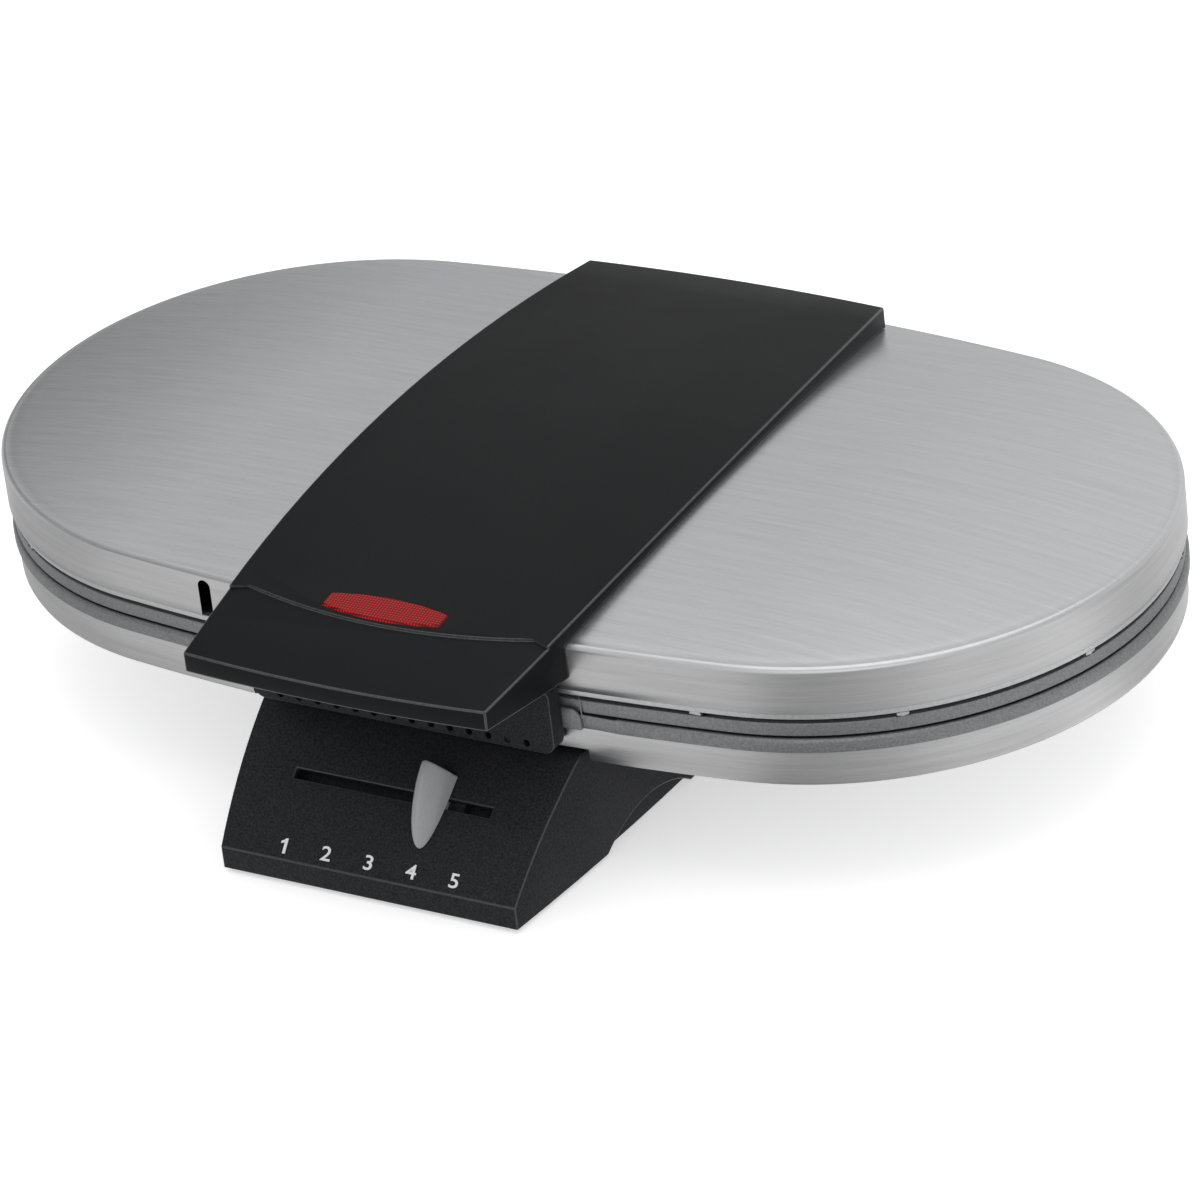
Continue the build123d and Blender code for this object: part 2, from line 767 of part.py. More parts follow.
# Upper baking plates, with the seat for the lid, its tabs and the posts under the lid frame
for name, side in sides.items():
    with BuildPart() as upper_plate:
        add(mirror(upper_castings[name], about=Plane.XY.offset(parting)))
        with BuildSketch(Plane.XY.offset(upper_rim_top)):
            half_oval(side, rim_inset + groove_depth)
            oval(rim_inset + groove_depth + groove_wall, Mode.SUBTRACT)
        extrude(amount=rim_groove)
        with BuildSketch(Plane.XY.offset(lid_bottom - seat_height)):
            half_oval(side, seat_inset)
            oval(rim_inset + groove_depth + groove_wall, Mode.SUBTRACT)
        extrude(amount=seat_height)
        tab_ring = end_radius - rim_inset - tab_depth / 2
        tab_span = tab_pitch * (tabs_per_end - 1)
        tab_start = (0 if side > 0 else 180) - tab_span / 2
        with BuildSketch(Plane.XY.offset(upper_rim_top)):
            with Locations((side * end_centre, 0)):
                with PolarLocations(tab_ring, tabs_per_end, tab_start, tab_span):
                    Rectangle(tab_depth, tab_width)
        extrude(amount=rim_groove)
        with BuildSketch(Plane.XY.offset(upper_rim_top)):
            with Locations((side * post_x, -upper_post_y), (side * post_x, upper_post_y)):
                Circle(post_radius)
                Circle(screw_radius + fit, mode=Mode.SUBTRACT)
        extrude(amount=frame_bottom - upper_rim_top)
        with BuildSketch(Plane.XY.offset(upper_plate_top)):
            with Locations((side * end_centre, 0)):
                with PolarLocations(shield_post_ring, shield_posts):
                    Circle(shield_post_radius)
        extrude(amount=upper_shield_z - upper_plate_top)
        with BuildSketch(Plane.XY.offset(upper_shield_z)):
            with Locations((side * end_centre, 0)):
                with PolarLocations(shield_post_ring, shield_posts):
                    Circle(screw_radius + fit)
        extrude(amount=-shield_screw_length, mode=Mode.SUBTRACT)
    save(upper_plate, f"upper_plate_{name}")

# Tubular heaters in the plates' grooves, with their cold ends turned away from the plates
for level, up in (("lower", -1), ("upper", 1)):
    height = lower_heater_z if up < 0 else upper_heater_z
    for name, side in sides.items():
        with BuildPart() as heater:
            turn = heater_gap if side < 0 else 180 + heater_gap
            with Locations(Location((side * end_centre, 0, height), (0, 0, turn))):
                Torus(heater_ring, heater_radius, major_angle=360 - 2 * heater_gap)
            with Locations(*[(x, y, height) for x, y in terminals if x * side > 0]):
                Sphere(heater_radius)
            with BuildSketch(Plane.XY.offset(height)):
                with Locations(*[(x, y) for x, y in terminals if x * side > 0]):
                    Circle(terminal_radius)
            extrude(amount=up * terminal_length)
        save(heater, f"{level}_heater_{name}")

# Round heat shields over the upper heaters
for name, side in sides.items():
    with BuildPart() as upper_shield:
        with BuildSketch(Plane.XY.offset(upper_shield_z)):
            with Locations((side * end_centre, 0)):
                Circle(cavity_radius)
                with PolarLocations(shield_post_ring, shield_posts):
                    Circle(screw_radius + fit, mode=Mode.SUBTRACT)
            with Locations(*[(x, y) for x, y in terminals if x * side > 0]):
                Circle(terminal_radius + terminal_clearance, mode=Mode.SUBTRACT)
        extrude(amount=shield_sheet)
    save(upper_shield, f"upper_heat_shield_{name}")

# Screws of the upper shields
with BuildPart() as shield_screws:
    with Locations(*[(side * end_centre, 0, upper_shield_z + shield_sheet) for side in sides.values()]):
        with PolarLocations(shield_post_ring, shield_posts):
            with Locations(Location((0, 0, 0), (180, 0, 0))):
                screw(shield_screw_length)
save(shield_screws, "upper_shield_screws")

# Screws up through the pan into the posts of the lower plates
with BuildPart() as lower_plate_screws:
    with Locations(*[Location((x, y, shell_bottom)) for x, y in lower_posts]):
        screw(plate_screw_length)
save(lower_plate_screws, "lower_plate_screws")

# Domed steel skin of the lid
with BuildPart() as lid_shell:
    dome(0, lid_bottom, 0)
    corner = lid_shell.edges().filter_by_position(Axis.Z, lid_edge - 0.05, lid_edge + 0.05)
    fillet(corner, lid_edge_radius)
    dome(skin, lid_bottom - 1, skin, Mode.SUBTRACT)
    with Locations(*[(x, half_depth, lid_bottom) for x in (-arm_x, arm_x)]):
        Box(lid_arm_slot, through, 2 * (frame_bottom - lid_bottom + gap), mode=Mode.SUBTRACT)
    with BuildSketch(Plane.XZ.offset(half_depth - through / 2)):
        with Locations((-vent_slot_x, lid_bottom)):
            SlotOverall(2 * vent_slot_height, vent_slot_width, rotation=90)
    extrude(amount=through, mode=Mode.SUBTRACT)
    with BuildSketch(Plane.XY.offset(frame_top)):
        with Locations(*strip_bosses):
            Circle(strip_boss_radius + fit)
    extrude(amount=through, mode=Mode.SUBTRACT)
    with Locations((0, -half_depth, lead_hole_z)):
        Cylinder(lead_hole_radius, through, rotation=(90, 0, 0), mode=Mode.SUBTRACT)
save(lid_shell, "lid_shell")

# Envelope of the lid, which the strip is cut to
with BuildPart() as lid_envelope:
    dome(-fit, lid_bottom - through, -fit)


def grip_low(y):
    """Height of the handle's lower edge at a depth y."""
    front = strip_z(strip_front) - lip_height
    return front - handle_drop * (y - strip_front) / (-half_depth - strip_front)


def strip_block(inside, back, bow, low):
    """Solid of the strip, inside its outer faces, down past the handle's lower edge."""
    front = strip_front - bow[0] - 1
    root = 2 - half_depth
    rear = max(back + bow[1] + 1, root + 2)
    with BuildPart() as block:
        with BuildSketch(Plane.YZ.offset(-waist_half)):
            with BuildLine():
                ThreePointArc(
                    (front, strip_z(front, inside)),
                    ((front + rear) / 2, strip_z((front + rear) / 2, inside)),
                    (rear, strip_z(rear, inside)),
                )
                Polyline(
                    (rear, strip_z(rear, inside)),
                    (rear, lid_edge + low),
                    (root, lid_edge + low),
                    (root, grip_low(root) + low),
                    (front, grip_low(front) + low),
                    (front, strip_z(front, inside)),
                )
            make_face()
        extrude(amount=2 * waist_half)
        with BuildSketch(Plane.XY.offset(lid_bottom - through)):
            barrel(strip_front + inside, back, inside, bow)
        extrude(amount=2 * through, mode=Mode.INTERSECT)
    return block.part


def liner_top(y):
    """Height of the liner's upper face at a depth y."""
    return grip_low(y) + liner_thickness


lens_slope = math.asin((strip_peak_y - lens_y) / strip_radius)
lens_normal = (0, -math.sin(lens_slope), math.cos(lens_slope))
lens_plane = Plane((lens_x, lens_y, strip_z(lens_y)), x_dir=(1, 0, 0), z_dir=lens_normal)


def lens_outline(grow):
    """Outline of the indicator window, grown by a margin, on the open sketch."""
    end_x = lens_length / 2 + grow
    end_y = lens_end / 2 + grow
    top = lens_height / 2 + grow
    with BuildLine() as outline:
        ThreePointArc((-end_x, end_y), (0, top), (end_x, end_y))
        Line((end_x, end_y), (end_x, -end_y))
        ThreePointArc((end_x, -end_y), (0, -top), (-end_x, -end_y))
        Line((-end_x, -end_y), (-end_x, end_y))
    make_face(outline.edges())


# Shallow wedge that lowers the lip of the strip in front of its bowed crease
with BuildPart() as lip_wedge:
    lip_front = strip_front - 2 * strip_crown
    with BuildSketch(Plane.YZ.offset(-waist_half)):
        with BuildLine():
            Polyline(
                (lip_front, strip_z(lip_front)),
                (crease_y, strip_z(crease_y) - crease_step),
                (crease_y, strip_z(crease_y) + crease_step),
                (lip_front, strip_z(lip_front) + crease_step),
                close=True,
            )
        make_face()
    extrude(amount=2 * waist_half)
    with BuildSketch(Plane.XY.offset(lid_bottom)):
        with BuildLine():
            ThreePointArc((-crease_half, crease_y), (0, crease_y - crease_sag), (crease_half, crease_y))
            Polyline(
                (crease_half, crease_y),
                (waist_half, crease_y - crease_turn),
                (waist_half, lip_front),
                (-waist_half, lip_front),
                (-waist_half, crease_y - crease_turn),
                (-crease_half, crease_y),
            )
        make_face()
    extrude(amount=through, mode=Mode.INTERSECT)

# Handle cover: the arched strip across the lid with the hollow grip at its front
strip_outer = strip_block(0, strip_back, (strip_crown, strip_crown), 0)
grip_hollow = strip_block(grip_wall, -half_depth - grip_wall, (strip_crown, 0), -through)
with BuildPart() as handle_cover:
    add(strip_outer)
    add(lid_envelope.part, mode=Mode.SUBTRACT)
    add(grip_hollow, mode=Mode.SUBTRACT)
    add(lip_wedge.part, mode=Mode.SUBTRACT)
    with BuildSketch(lens_plane):
        lens_outline(fit)
    extrude(amount=2 * grip_wall, both=True, mode=Mode.SUBTRACT)
    with BuildSketch(lens_plane.offset(-lens_thickness)):
        lens_outline(lens_flange + fit)
    extrude(amount=-2 * lens_flange, mode=Mode.SUBTRACT)
    for x, y in strip_bosses:
        with BuildSketch(Plane.XY.offset(frame_top)):
            with Locations((x, y)):
                Circle(strip_boss_radius)
        extrude(amount=strip_z(y) - grip_wall / 2 - frame_top)
        with BuildSketch(Plane.XY.offset(frame_top)):
            with Locations((x, y)):
                Circle(screw_radius + fit)
        extrude(amount=strip_screw_length - frame_thickness, mode=Mode.SUBTRACT)
    for x, y in liner_screw_spots:
        boss_low = liner_top(y - liner_boss_radius)
        with BuildSketch(Plane.XY.offset(boss_low)):
            with Locations((x, y)):
                Circle(liner_boss_radius)
        extrude(amount=strip_z(y) - grip_wall - crease_step / 2 - boss_low)
        with BuildSketch(Plane.XY.offset(boss_low)):
            with Locations((x, y)):
                Circle(screw_radius + fit)
        extrude(amount=liner_screw_length - liner_thickness, mode=Mode.SUBTRACT)
save(handle_cover, "handle_cover")

# Liner that closes the grip from below
with BuildPart() as handle_liner:
    liner_front = strip_front + grip_wall
    liner_back = -half_depth - grip_wall - gap
    with BuildSketch(Plane.YZ.offset(-waist_half)):
        low_front = liner_front - strip_crown - 1
        with BuildLine():
            Polyline(
                (low_front, grip_low(low_front)),
                (liner_back, grip_low(liner_back)),
                (liner_back, grip_low(liner_back) + liner_thickness),
                (low_front, grip_low(low_front) + liner_thickness),
                close=True,
            )
        make_face()
    extrude(amount=2 * waist_half)
    with BuildSketch(Plane.XY.offset(hinge_z)):
        barrel(liner_front + gap, liner_back, grip_wall + gap, (strip_crown, 0))
    extrude(amount=through, mode=Mode.INTERSECT)
    with BuildSketch(Plane.XY.offset(hinge_z)):
        with Locations(*liner_screw_spots):
            Circle(screw_radius + fit)
    extrude(amount=through, mode=Mode.SUBTRACT)
save(handle_liner, "handle_liner")

# Screws that hold the liner
with BuildPart() as liner_screws:
    with Locations(*[Location((x, y, grip_low(y + screw_head_radius))) for x, y in liner_screw_spots]):
        screw(liner_screw_length, thin_head)
save(liner_screws, "liner_screws")

# Indicator lens, held from inside by its flange
with BuildPart() as indicator_lens:
    with BuildSketch(lens_plane.offset(-lens_thickness)):
        lens_outline(0)
    extrude(amount=lens_thickness + lens_proud)
    with BuildSketch(lens_plane.offset(-lens_thickness - lens_flange)):
        lens_outline(lens_flange)
    extrude(amount=lens_flange)
save(indicator_lens, "indicator_lens")

# Neon lamp under the lens and the saddle that carries it
lamp_z = strip_z(lamp_y) - lens_thickness - lens_flange - lamp_radius - lamp_gap
with BuildPart() as lamp:
    with Locations((lens_x, lamp_y, lamp_z)):
        Cylinder(lamp_radius, lamp_length, rotation=(0, 90, 0))
    with Locations((lens_x + lamp_length / 2, lamp_y, lamp_z)):
        Sphere(lamp_radius)
save(lamp, "lamp")

with BuildPart() as lamp_holder:
    saddle_low = liner_top(lamp_y - lamp_radius - saddle_lip) + fit
    with Locations((lens_x, lamp_y, saddle_low)):
        Box(lamp_length, 2 * (lamp_radius + saddle_lip), saddle_sheet, align=BOTTOM)
        Box(lamp_length / 2, 2 * (lamp_radius + saddle_lip), lamp_z - saddle_low, align=BOTTOM)
    with Locations((lens_x, lamp_y, lamp_z)):
        Cylinder(lamp_radius + fit, 2 * lamp_length, rotation=(0, 90, 0), mode=Mode.SUBTRACT)
save(lamp_holder, "lamp_holder")

# Steel frame inside the lid that joins the strip, the plates and the hinge arms
with BuildPart() as lid_frame:
    with BuildSketch(Plane.XY.offset(frame_bottom)):
        RectangleRounded(2 * frame_half, 2 * frame_depth, frame_corner)
        SlotOverall(frame_depth, frame_half, rotation=90, mode=Mode.SUBTRACT)
        with Locations(*arm_screw_spots, *upper_posts, *strip_bosses):
            Circle(screw_radius + fit, mode=Mode.SUBTRACT)
    extrude(amount=frame_thickness)
save(lid_frame, "lid_frame")

# Hinge arms from the lid frame, through the lid's rear wall, to the pins
for name, side in sides.items():
    with BuildPart() as arm:
        with BuildSketch(Plane.YZ.offset(side * arm_x - arm_width / 2)):
            with BuildLine():
                Polyline(
                    (arm_reach, frame_bottom),
                    (hinge_y - arm_eye, frame_bottom),
                    (hinge_y + arm_eye, hinge_z + arm_neck),
                    (hinge_y + arm_eye, hinge_z),
                    (hinge_y - arm_eye, hinge_z),
                    (hinge_y - arm_eye, frame_bottom - arm_depth),
                    (arm_reach, frame_bottom - arm_depth),
                    close=True,
                )
            make_face()
            with Locations((hinge_y, hinge_z)):
                Circle(arm_eye)
                Circle(hinge_pin_radius + running, mode=Mode.SUBTRACT)
        extrude(amount=arm_width)
        with Locations(*[(side * arm_x, y, frame_bottom) for y in arm_screw_ys]):
            Cylinder(screw_radius + fit, arm_screw_length, align=TOP, mode=Mode.SUBTRACT)
    save(arm, f"hinge_arm_{name}")

# Hinge pins with their heads outside and a clip inside each tower
for name, side in sides.items():
    with BuildPart() as pin:
        with BuildSketch(Plane.YZ.offset(side * (arm_x - tower_half - pin_tail))):
            with Locations((hinge_y, hinge_z)):
                Circle(hinge_pin_radius)
        extrude(amount=side * (2 * tower_half + pin_tail))
        with BuildSketch(Plane.YZ.offset(side * (arm_x + tower_half))):
            with Locations((hinge_y, hinge_z)):
                Circle(pin_head_radius)
        extrude(amount=side * pin_head)
    save(pin, f"hinge_pin_{name}")

with BuildPart() as pin_clips:
    for side in (-1, 1):
        with BuildSketch(Plane.YZ.offset(side * (arm_x - tower_half - fit))):
            with Locations((hinge_y, hinge_z)):
                Circle(pin_head_radius)
                Circle(hinge_pin_radius + tight, mode=Mode.SUBTRACT)
        extrude(amount=-side * pin_head)
save(pin_clips, "pin_clips")

# Screws of the lid: frame to arms, frame to plates, frame to strip
with BuildPart() as arm_screws:
    with Locations(*[Location((x, y, frame_top), (180, 0, 0)) for x, y in arm_screw_spots]):
        screw(arm_screw_length + frame_thickness)
save(arm_screws, "arm_screws")

with BuildPart() as upper_plate_screws:
    with Locations(*[Location((x, y, frame_top), (180, 0, 0)) for x, y in upper_posts]):
        screw(plate_screw_length)
save(upper_plate_screws, "upper_plate_screws")

with BuildPart() as strip_screws:
    with Locations(*[Location((x, y, frame_bottom)) for x, y in strip_bosses]):
        screw(strip_screw_length)
save(strip_screws, "strip_screws")

# Front guard, the vented block between the console and the handle
guard_top = grip_low(-half_depth) - guard_drop
with BuildPart() as front_guard:
    guard_height = guard_top - guard_bottom
    guard_plane = Plane.XZ.offset(-guard_front)
    with BuildSketch(guard_plane):
        with Locations((0, guard_bottom + guard_height / 2)):
            RectangleRounded(2 * guard_half, guard_height, ear_radius)
    extrude(amount=-through)
    with BuildSketch(Plane.XZ.offset(-guard_front - guard_wall)):
        with Locations((0, guard_bottom + guard_height / 2)):
            RectangleRounded(
                2 * (guard_half - guard_wall), guard_height - 2 * guard_wall, ear_radius - guard_wall
            )
    extrude(amount=-through, mode=Mode.SUBTRACT)
    with BuildSketch(Plane.XY.offset(guard_bottom)):
        oval(-ear_front - gap)
    extrude(amount=guard_height, mode=Mode.SUBTRACT)
    with BuildSketch(guard_plane):
        with Locations((0, guard_bottom + guard_wall + guard_hole)):
            with GridLocations(guard_hole_pitch, 1, guard_holes, 1):
                Circle(guard_hole)
    extrude(amount=-guard_wall, mode=Mode.SUBTRACT)
    for x in guard_screw_spots:
        with BuildSketch(Plane.XZ.offset(-guard_front - guard_wall / 2)):
            with Locations((x, guard_screw_z)):
                Circle(guard_boss_radius)
        extrude(amount=guard_wall / 2 - guard_boss_length)
        with BuildSketch(Plane.XZ.offset(-guard_front - guard_wall)):
            with Locations((x, guard_screw_z)):
                Circle(screw_radius + fit)
        extrude(amount=-guard_boss_length, mode=Mode.SUBTRACT)
save(front_guard, "front_guard")

with BuildPart() as guard_screws:
    seat = front_y(guard_screw_x + screw_head_radius, shell_inset + sheet + guard_screw_seat)
    with Locations(*[Location((x, seat, guard_screw_z), (90, 0, 0)) for x in guard_screw_spots]):
        screw(guard_screw_length)
save(guard_screws, "guard_screws")

# Thermostat under the pan: body with its sensor stud, spindle and lever
with BuildPart() as thermostat_body:
    with Locations((0, pivot_y, thermostat_base)):
        Box(*thermostat_size, shell_bottom - thermostat_base, align=BOTTOM)
    with BuildSketch(Plane.XY.offset(shell_bottom)):
        with Locations((0, pivot_y)):
            Circle(stud_radius)
    extrude(amount=lower_rim_bottom - shell_bottom)
    with Locations((0, pivot_y, thermostat_base)):
        Cylinder(spindle_radius + running, spindle_seat, align=BOTTOM, mode=Mode.SUBTRACT)
save(thermostat_body, "thermostat_body")

with BuildPart() as thermostat_spindle:
    with BuildSketch(Plane.XY.offset(lever_z)):
        with Locations((0, pivot_y)):
            Circle(spindle_radius)
    extrude(amount=thermostat_base + spindle_seat - fit - lever_z)
save(thermostat_spindle, "thermostat_spindle")

far_distance = math.hypot(half_travel, drive_pin_y - pivot_y)
near_distance = abs(drive_pin_y - pivot_y)
with BuildPart() as regulator_lever:
    with BuildSketch(Plane((0, pivot_y, lever_z), x_dir=(rest_x, drive_pin_y - pivot_y, 0))):
        with Locations((0, 0)):
            Circle(lever_hub)
        with Locations(((far_distance + lever_tip) / 2, 0)):
            RectangleRounded(far_distance + lever_tip, lever_width, lever_width / 2 - fit)
        with Locations(((near_distance + far_distance) / 2, 0)):
            slot_reach = far_distance - near_distance + 2 * lever_slot_width
            SlotOverall(slot_reach, lever_slot_width, mode=Mode.SUBTRACT)
        Circle(spindle_radius + tight, mode=Mode.SUBTRACT)
    extrude(amount=lever_thickness)
    with BuildSketch(Plane.XY.offset(lever_z + lever_thickness)):
        with Locations((0, pivot_y)):
            Circle(lever_hub)
            Circle(spindle_radius + tight, mode=Mode.SUBTRACT)
    extrude(amount=lever_hub_height)
save(regulator_lever, "regulator_lever")

# Thermal fuse with its clip on the heat shield
with BuildPart() as thermal_fuse:
    with Locations((0, fuse_y, shield_top + fuse_radius)):
        Cylinder(fuse_radius, fuse_length, rotation=(0, 90, 0))
save(thermal_fuse, "thermal_fuse")

with BuildPart() as fuse_clip:
    with Locations((0, fuse_y, shield_top)):
        Box(fuse_length / 2, 2 * (fuse_radius + clip_side), 2 * fuse_radius + clip_top, align=BOTTOM)
    with Locations((0, fuse_y, shield_top + fuse_radius)):
        Cylinder(fuse_radius + fit, fuse_length, rotation=(0, 90, 0), mode=Mode.SUBTRACT)
        Box(fuse_length, 2 * fuse_radius + 2 * fit, fuse_radius, align=TOP, mode=Mode.SUBTRACT)
save(fuse_clip, "fuse_clip")

# Terminal block on the bottom cover
with BuildPart() as terminal_block:
    with Locations((0, terminal_y, cover_top)):
        Box(*terminal_size, align=BOTTOM)
    with Locations((0, terminal_y, cover_top + terminal_size[2] / 2)):
        with GridLocations(terminal_size[0] / 3, 1, 3, 1):
            Cylinder(wire_bore, 2 * terminal_size[1], rotation=(90, 0, 0), mode=Mode.SUBTRACT)
    with Locations((0, terminal_y, cover_top + terminal_size[2])):
        with GridLocations(terminal_size[0] / 3, 1, 3, 1):
            Cylinder(clamp_bore, clamp_depth, align=TOP, mode=Mode.SUBTRACT)
save(terminal_block, "terminal_block")

# Cord gland in the rear wall
with BuildPart() as cord_gland:
    with BuildSketch(Plane.XZ.offset(-pedestal_back)):
        with Locations((gland_x, gland_z)):
            Circle(gland_radius + gland_lip)
    extrude(amount=-gland_flange)
    with BuildSketch(Plane.XZ.offset(-pedestal_back)):
        with Locations((gland_x, gland_z)):
            Circle(gland_radius)
    extrude(amount=wall + gland_flange + gland_nose)
    with BuildSketch(Plane.XZ.offset(-pedestal_back - gland_flange)):
        with Locations((gland_x, gland_z)):
            Circle(gland_bore)
    extrude(amount=through, mode=Mode.SUBTRACT)
save(cord_gland, "cord_gland")

# Guide under the console for the slider
with BuildPart() as slider_guide:
    with BuildSketch(guide_top.offset(-guide_thickness)):
        Rectangle(guide_length, guide_width)
    extrude(amount=guide_thickness)
    with BuildSketch(guide_top):
        Rectangle(guide_length, guide_width)
        Rectangle(guide_length, carriage_width + 2 * gap, mode=Mode.SUBTRACT)
    extrude(amount=guide_depth - guide_lip_gap)
    with BuildSketch(guide_top):
        with Locations(*guide_spots):
            Circle(screw_radius + fit)
    extrude(amount=-guide_thickness, mode=Mode.SUBTRACT)
    with BuildSketch(Plane.XY.offset(lever_z)):
        with Locations((0, drive_pin_y)):
            SlotOverall(2 * half_travel + drive_slot, drive_slot)
    extrude(amount=slot_z - lever_z, mode=Mode.SUBTRACT)
save(slider_guide, "slider_guide")

with BuildPart() as guide_screws:
    seat_plane = guide_top.offset(-guide_thickness)
    with Locations(seat_plane):
        with Locations(*guide_spots):
            screw(guide_screw_length)
save(guide_screws, "guide_screws")

# Slider: the runner with its drive pin, and the knob that stands on the console
with BuildPart() as slider_carriage:
    with BuildSketch(panel_at_rest.offset(-wall - carriage_gap - carriage_thickness)):
        Rectangle(carriage_length, carriage_width)
        Rectangle(stem_length + 2 * fit, stem_width + 2 * fit, mode=Mode.SUBTRACT)
    extrude(amount=carriage_thickness)
    with BuildSketch(Plane.XY.offset(lever_z - 1)):
        with Locations((rest_x, drive_pin_y)):
            Circle(drive_pin_radius)
    extrude(until=Until.NEXT)
save(slider_carriage, "slider_carriage")

with BuildPart() as slider_knob:
    for share in knob_stations:
        half = knob_width / 2 * math.sqrt(1 - share**knob_taper)
        tall = knob_tip_height + (knob_height - knob_tip_height) * (1 - share**knob_fall)
        crown = tall - spine * half
        along = knob_above_slot - share * knob_length
        station = panel_at_rest.from_local_coords((0, along, knob_gap))
        with BuildSketch(Plane(station, x_dir=(1, 0, 0), z_dir=-panel.y_dir)):
            with BuildLine():
                Polyline((-spine * half, crown), (-half, 0), (half, 0), (spine * half, crown))
                ThreePointArc((spine * half, crown), (0, tall), (-spine * half, crown))
            make_face()
    loft()
    with BuildSketch(panel_at_rest.offset(knob_gap)):
        Rectangle(stem_length, stem_width)
    extrude(amount=-knob_gap - wall - carriage_gap - carriage_thickness)
save(slider_knob, "slider_knob")
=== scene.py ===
"""Looks of the double waffle maker: finishes, rounded edges, digits, stage and camera."""

import json
import math

import bmesh
import bpy
from bpy.props import FloatProperty, FloatVectorProperty, PointerProperty
from mathutils import Matrix, Vector


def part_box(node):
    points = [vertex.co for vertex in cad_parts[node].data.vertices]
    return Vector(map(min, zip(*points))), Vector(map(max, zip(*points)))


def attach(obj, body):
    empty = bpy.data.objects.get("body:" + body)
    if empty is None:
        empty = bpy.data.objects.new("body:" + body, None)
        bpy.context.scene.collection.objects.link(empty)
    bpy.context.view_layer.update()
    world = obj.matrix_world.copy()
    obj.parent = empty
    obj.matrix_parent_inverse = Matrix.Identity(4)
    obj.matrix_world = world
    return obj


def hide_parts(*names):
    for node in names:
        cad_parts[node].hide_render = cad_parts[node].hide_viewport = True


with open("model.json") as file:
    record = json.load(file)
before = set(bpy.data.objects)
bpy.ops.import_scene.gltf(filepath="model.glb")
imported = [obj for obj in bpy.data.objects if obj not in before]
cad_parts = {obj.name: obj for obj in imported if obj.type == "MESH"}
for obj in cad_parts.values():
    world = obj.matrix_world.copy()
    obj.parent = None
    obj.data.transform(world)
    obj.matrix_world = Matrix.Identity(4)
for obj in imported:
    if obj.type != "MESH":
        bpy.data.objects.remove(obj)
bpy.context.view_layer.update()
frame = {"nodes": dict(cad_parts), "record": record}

bl_info = {
    "name": "Double Waffle Maker",
    "version": (1, 0, 0),
    "blender": (4, 5, 0),
    "location": "View3D > Sidebar > Waffle",
    "description": "Dresses the double waffle maker's frame",
    "category": "Object",
}

# Pieces are drawn in millimetres about the centre of the oval, as the construction is
MM = 0.001
LID_LOW, LID_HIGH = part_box("lid_shell")
OVAL_Y = (LID_LOW.y + LID_HIGH.y) / 2

# Vertices nearer than this are one, in metres on a CAD node and in millimetres on a drawn piece,
# and faces within this of a plane in degrees are joined
MERGE = 2e-6
DRAWN_MERGE = 0.0005
FLAT = 0.5

# Upward share of a face's normal, above which it is level, and below which it is a wall
LEVEL = 0.6
WALL = 0.3

# Oval outline
HALF_LENGTH = 200.0
HALF_DEPTH = 111.0
END_RADIUS = 105.0
END_CENTRE = HALF_LENGTH - END_RADIUS
LONG_RADIUS = (END_CENTRE**2 + HALF_DEPTH**2 - END_RADIUS**2) / (2 * (HALF_DEPTH - END_RADIUS))
LEAN = math.acos(END_CENTRE / (LONG_RADIUS - END_RADIUS))
END_STEPS = 90
LONG_STEPS = 60

# Heights above the table
PARTING = 57.2
LID_BOTTOM = 65.5
SEAT_BOTTOM = 62.1
LOWER_RIM_BOTTOM = 52.2
LID_EDGE = 81.0
LID_RISE = 9.5
SLACK = 0.2

# Lid's skin: its thickness, and the rings of its dome and inner side as distances from the outline
SKIN = 0.8
HEM = 0.3
INNER_DROP = 1.0
RING_GAP = 4.0
EDGE_STEPS = 7
DOME_RINGS = (4, 7, 11, 16, 22, 29, 37, 46, 56, 66, 76, 86, 95, 102, 104.5)
INNER_RINGS = (104.5, 80, 56, 37, 22, 11, 4)

# Rims of the plates, as distances in from the oval, and what shows beside the guard's ears
RIM_DEPTH = 5.0
RIM_WALL = 1.6
RIM_STEP = 0.9
LIP_WALL = 1.3
LIP_DROP = 1.2
LIP_ROUND = 1.3
COATED_DEPTH = 3.0
COATED_REACH = 12.0
EAR_HALF = 61.0
GUARD_ENDS = 50.0

# Rounding of the other pieces' edges
CAST_ROUND = 0.3
SHEET_ROUND = 0.2
HOUSING_ROUND = 0.4
TRIM_ROUND = 0.3
COVER_ROUND = 0.25
RUBBER_ROUND = 0.2

# Arch of the strip
STRIP_PEAK = 93.9
STRIP_PEAK_Y = 12.0
STRIP_RADIUS = 980.0
STRIP_FRONT = -150.4
STRIP_BACK = 104.5
CREASE_Y = -115.3
CREASE_SAG = 6.7
CREASE_HALF = 50.5
CREASE_TURN = 3.75
CREASE_ROUND = 0.25

# How far from the strip's sides, ends and crease its edges are rounded, and where the crease's step takes the
# paler finish that paints a highlight
SIDE_REACH = 0.6
END_REACH = 0.4
CREASE_REACH = 0.6
CREASE_DEPTH = 1.2
CREASE_STOP = 1.0
STEP_REACH = 1.2
STEP_DEPTH = 0.9
STEP_STOP = 0.5

# Barrel outline of the strip
WAIST_HALF = 61.4
BARREL_RADIUS = 1130.0
BARREL_Y = -17.0

# Console: three points of its arc, and the slot
CONSOLE_ARC = ((-147.0, 9.2), (-128.3, 27.0), (-106.6, 41.5))
SLOT_Y = -127.0
MARK_PITCH = 15.3
MARKS = 5
REST_STEP = 1

# Indicator window
LENS_X = -2.0
LENS_Y = -115.0
LENS_LENGTH = 42.0
LENS_HEIGHT = 11.2
LENS_END = 6.2
LENS_PROUD = 0.5
LENS_DEPTH = 3.0
LENS_GRID = (44, 10)
LENS_CHAMFER = 0.6
LENS_CORNER = 1.2

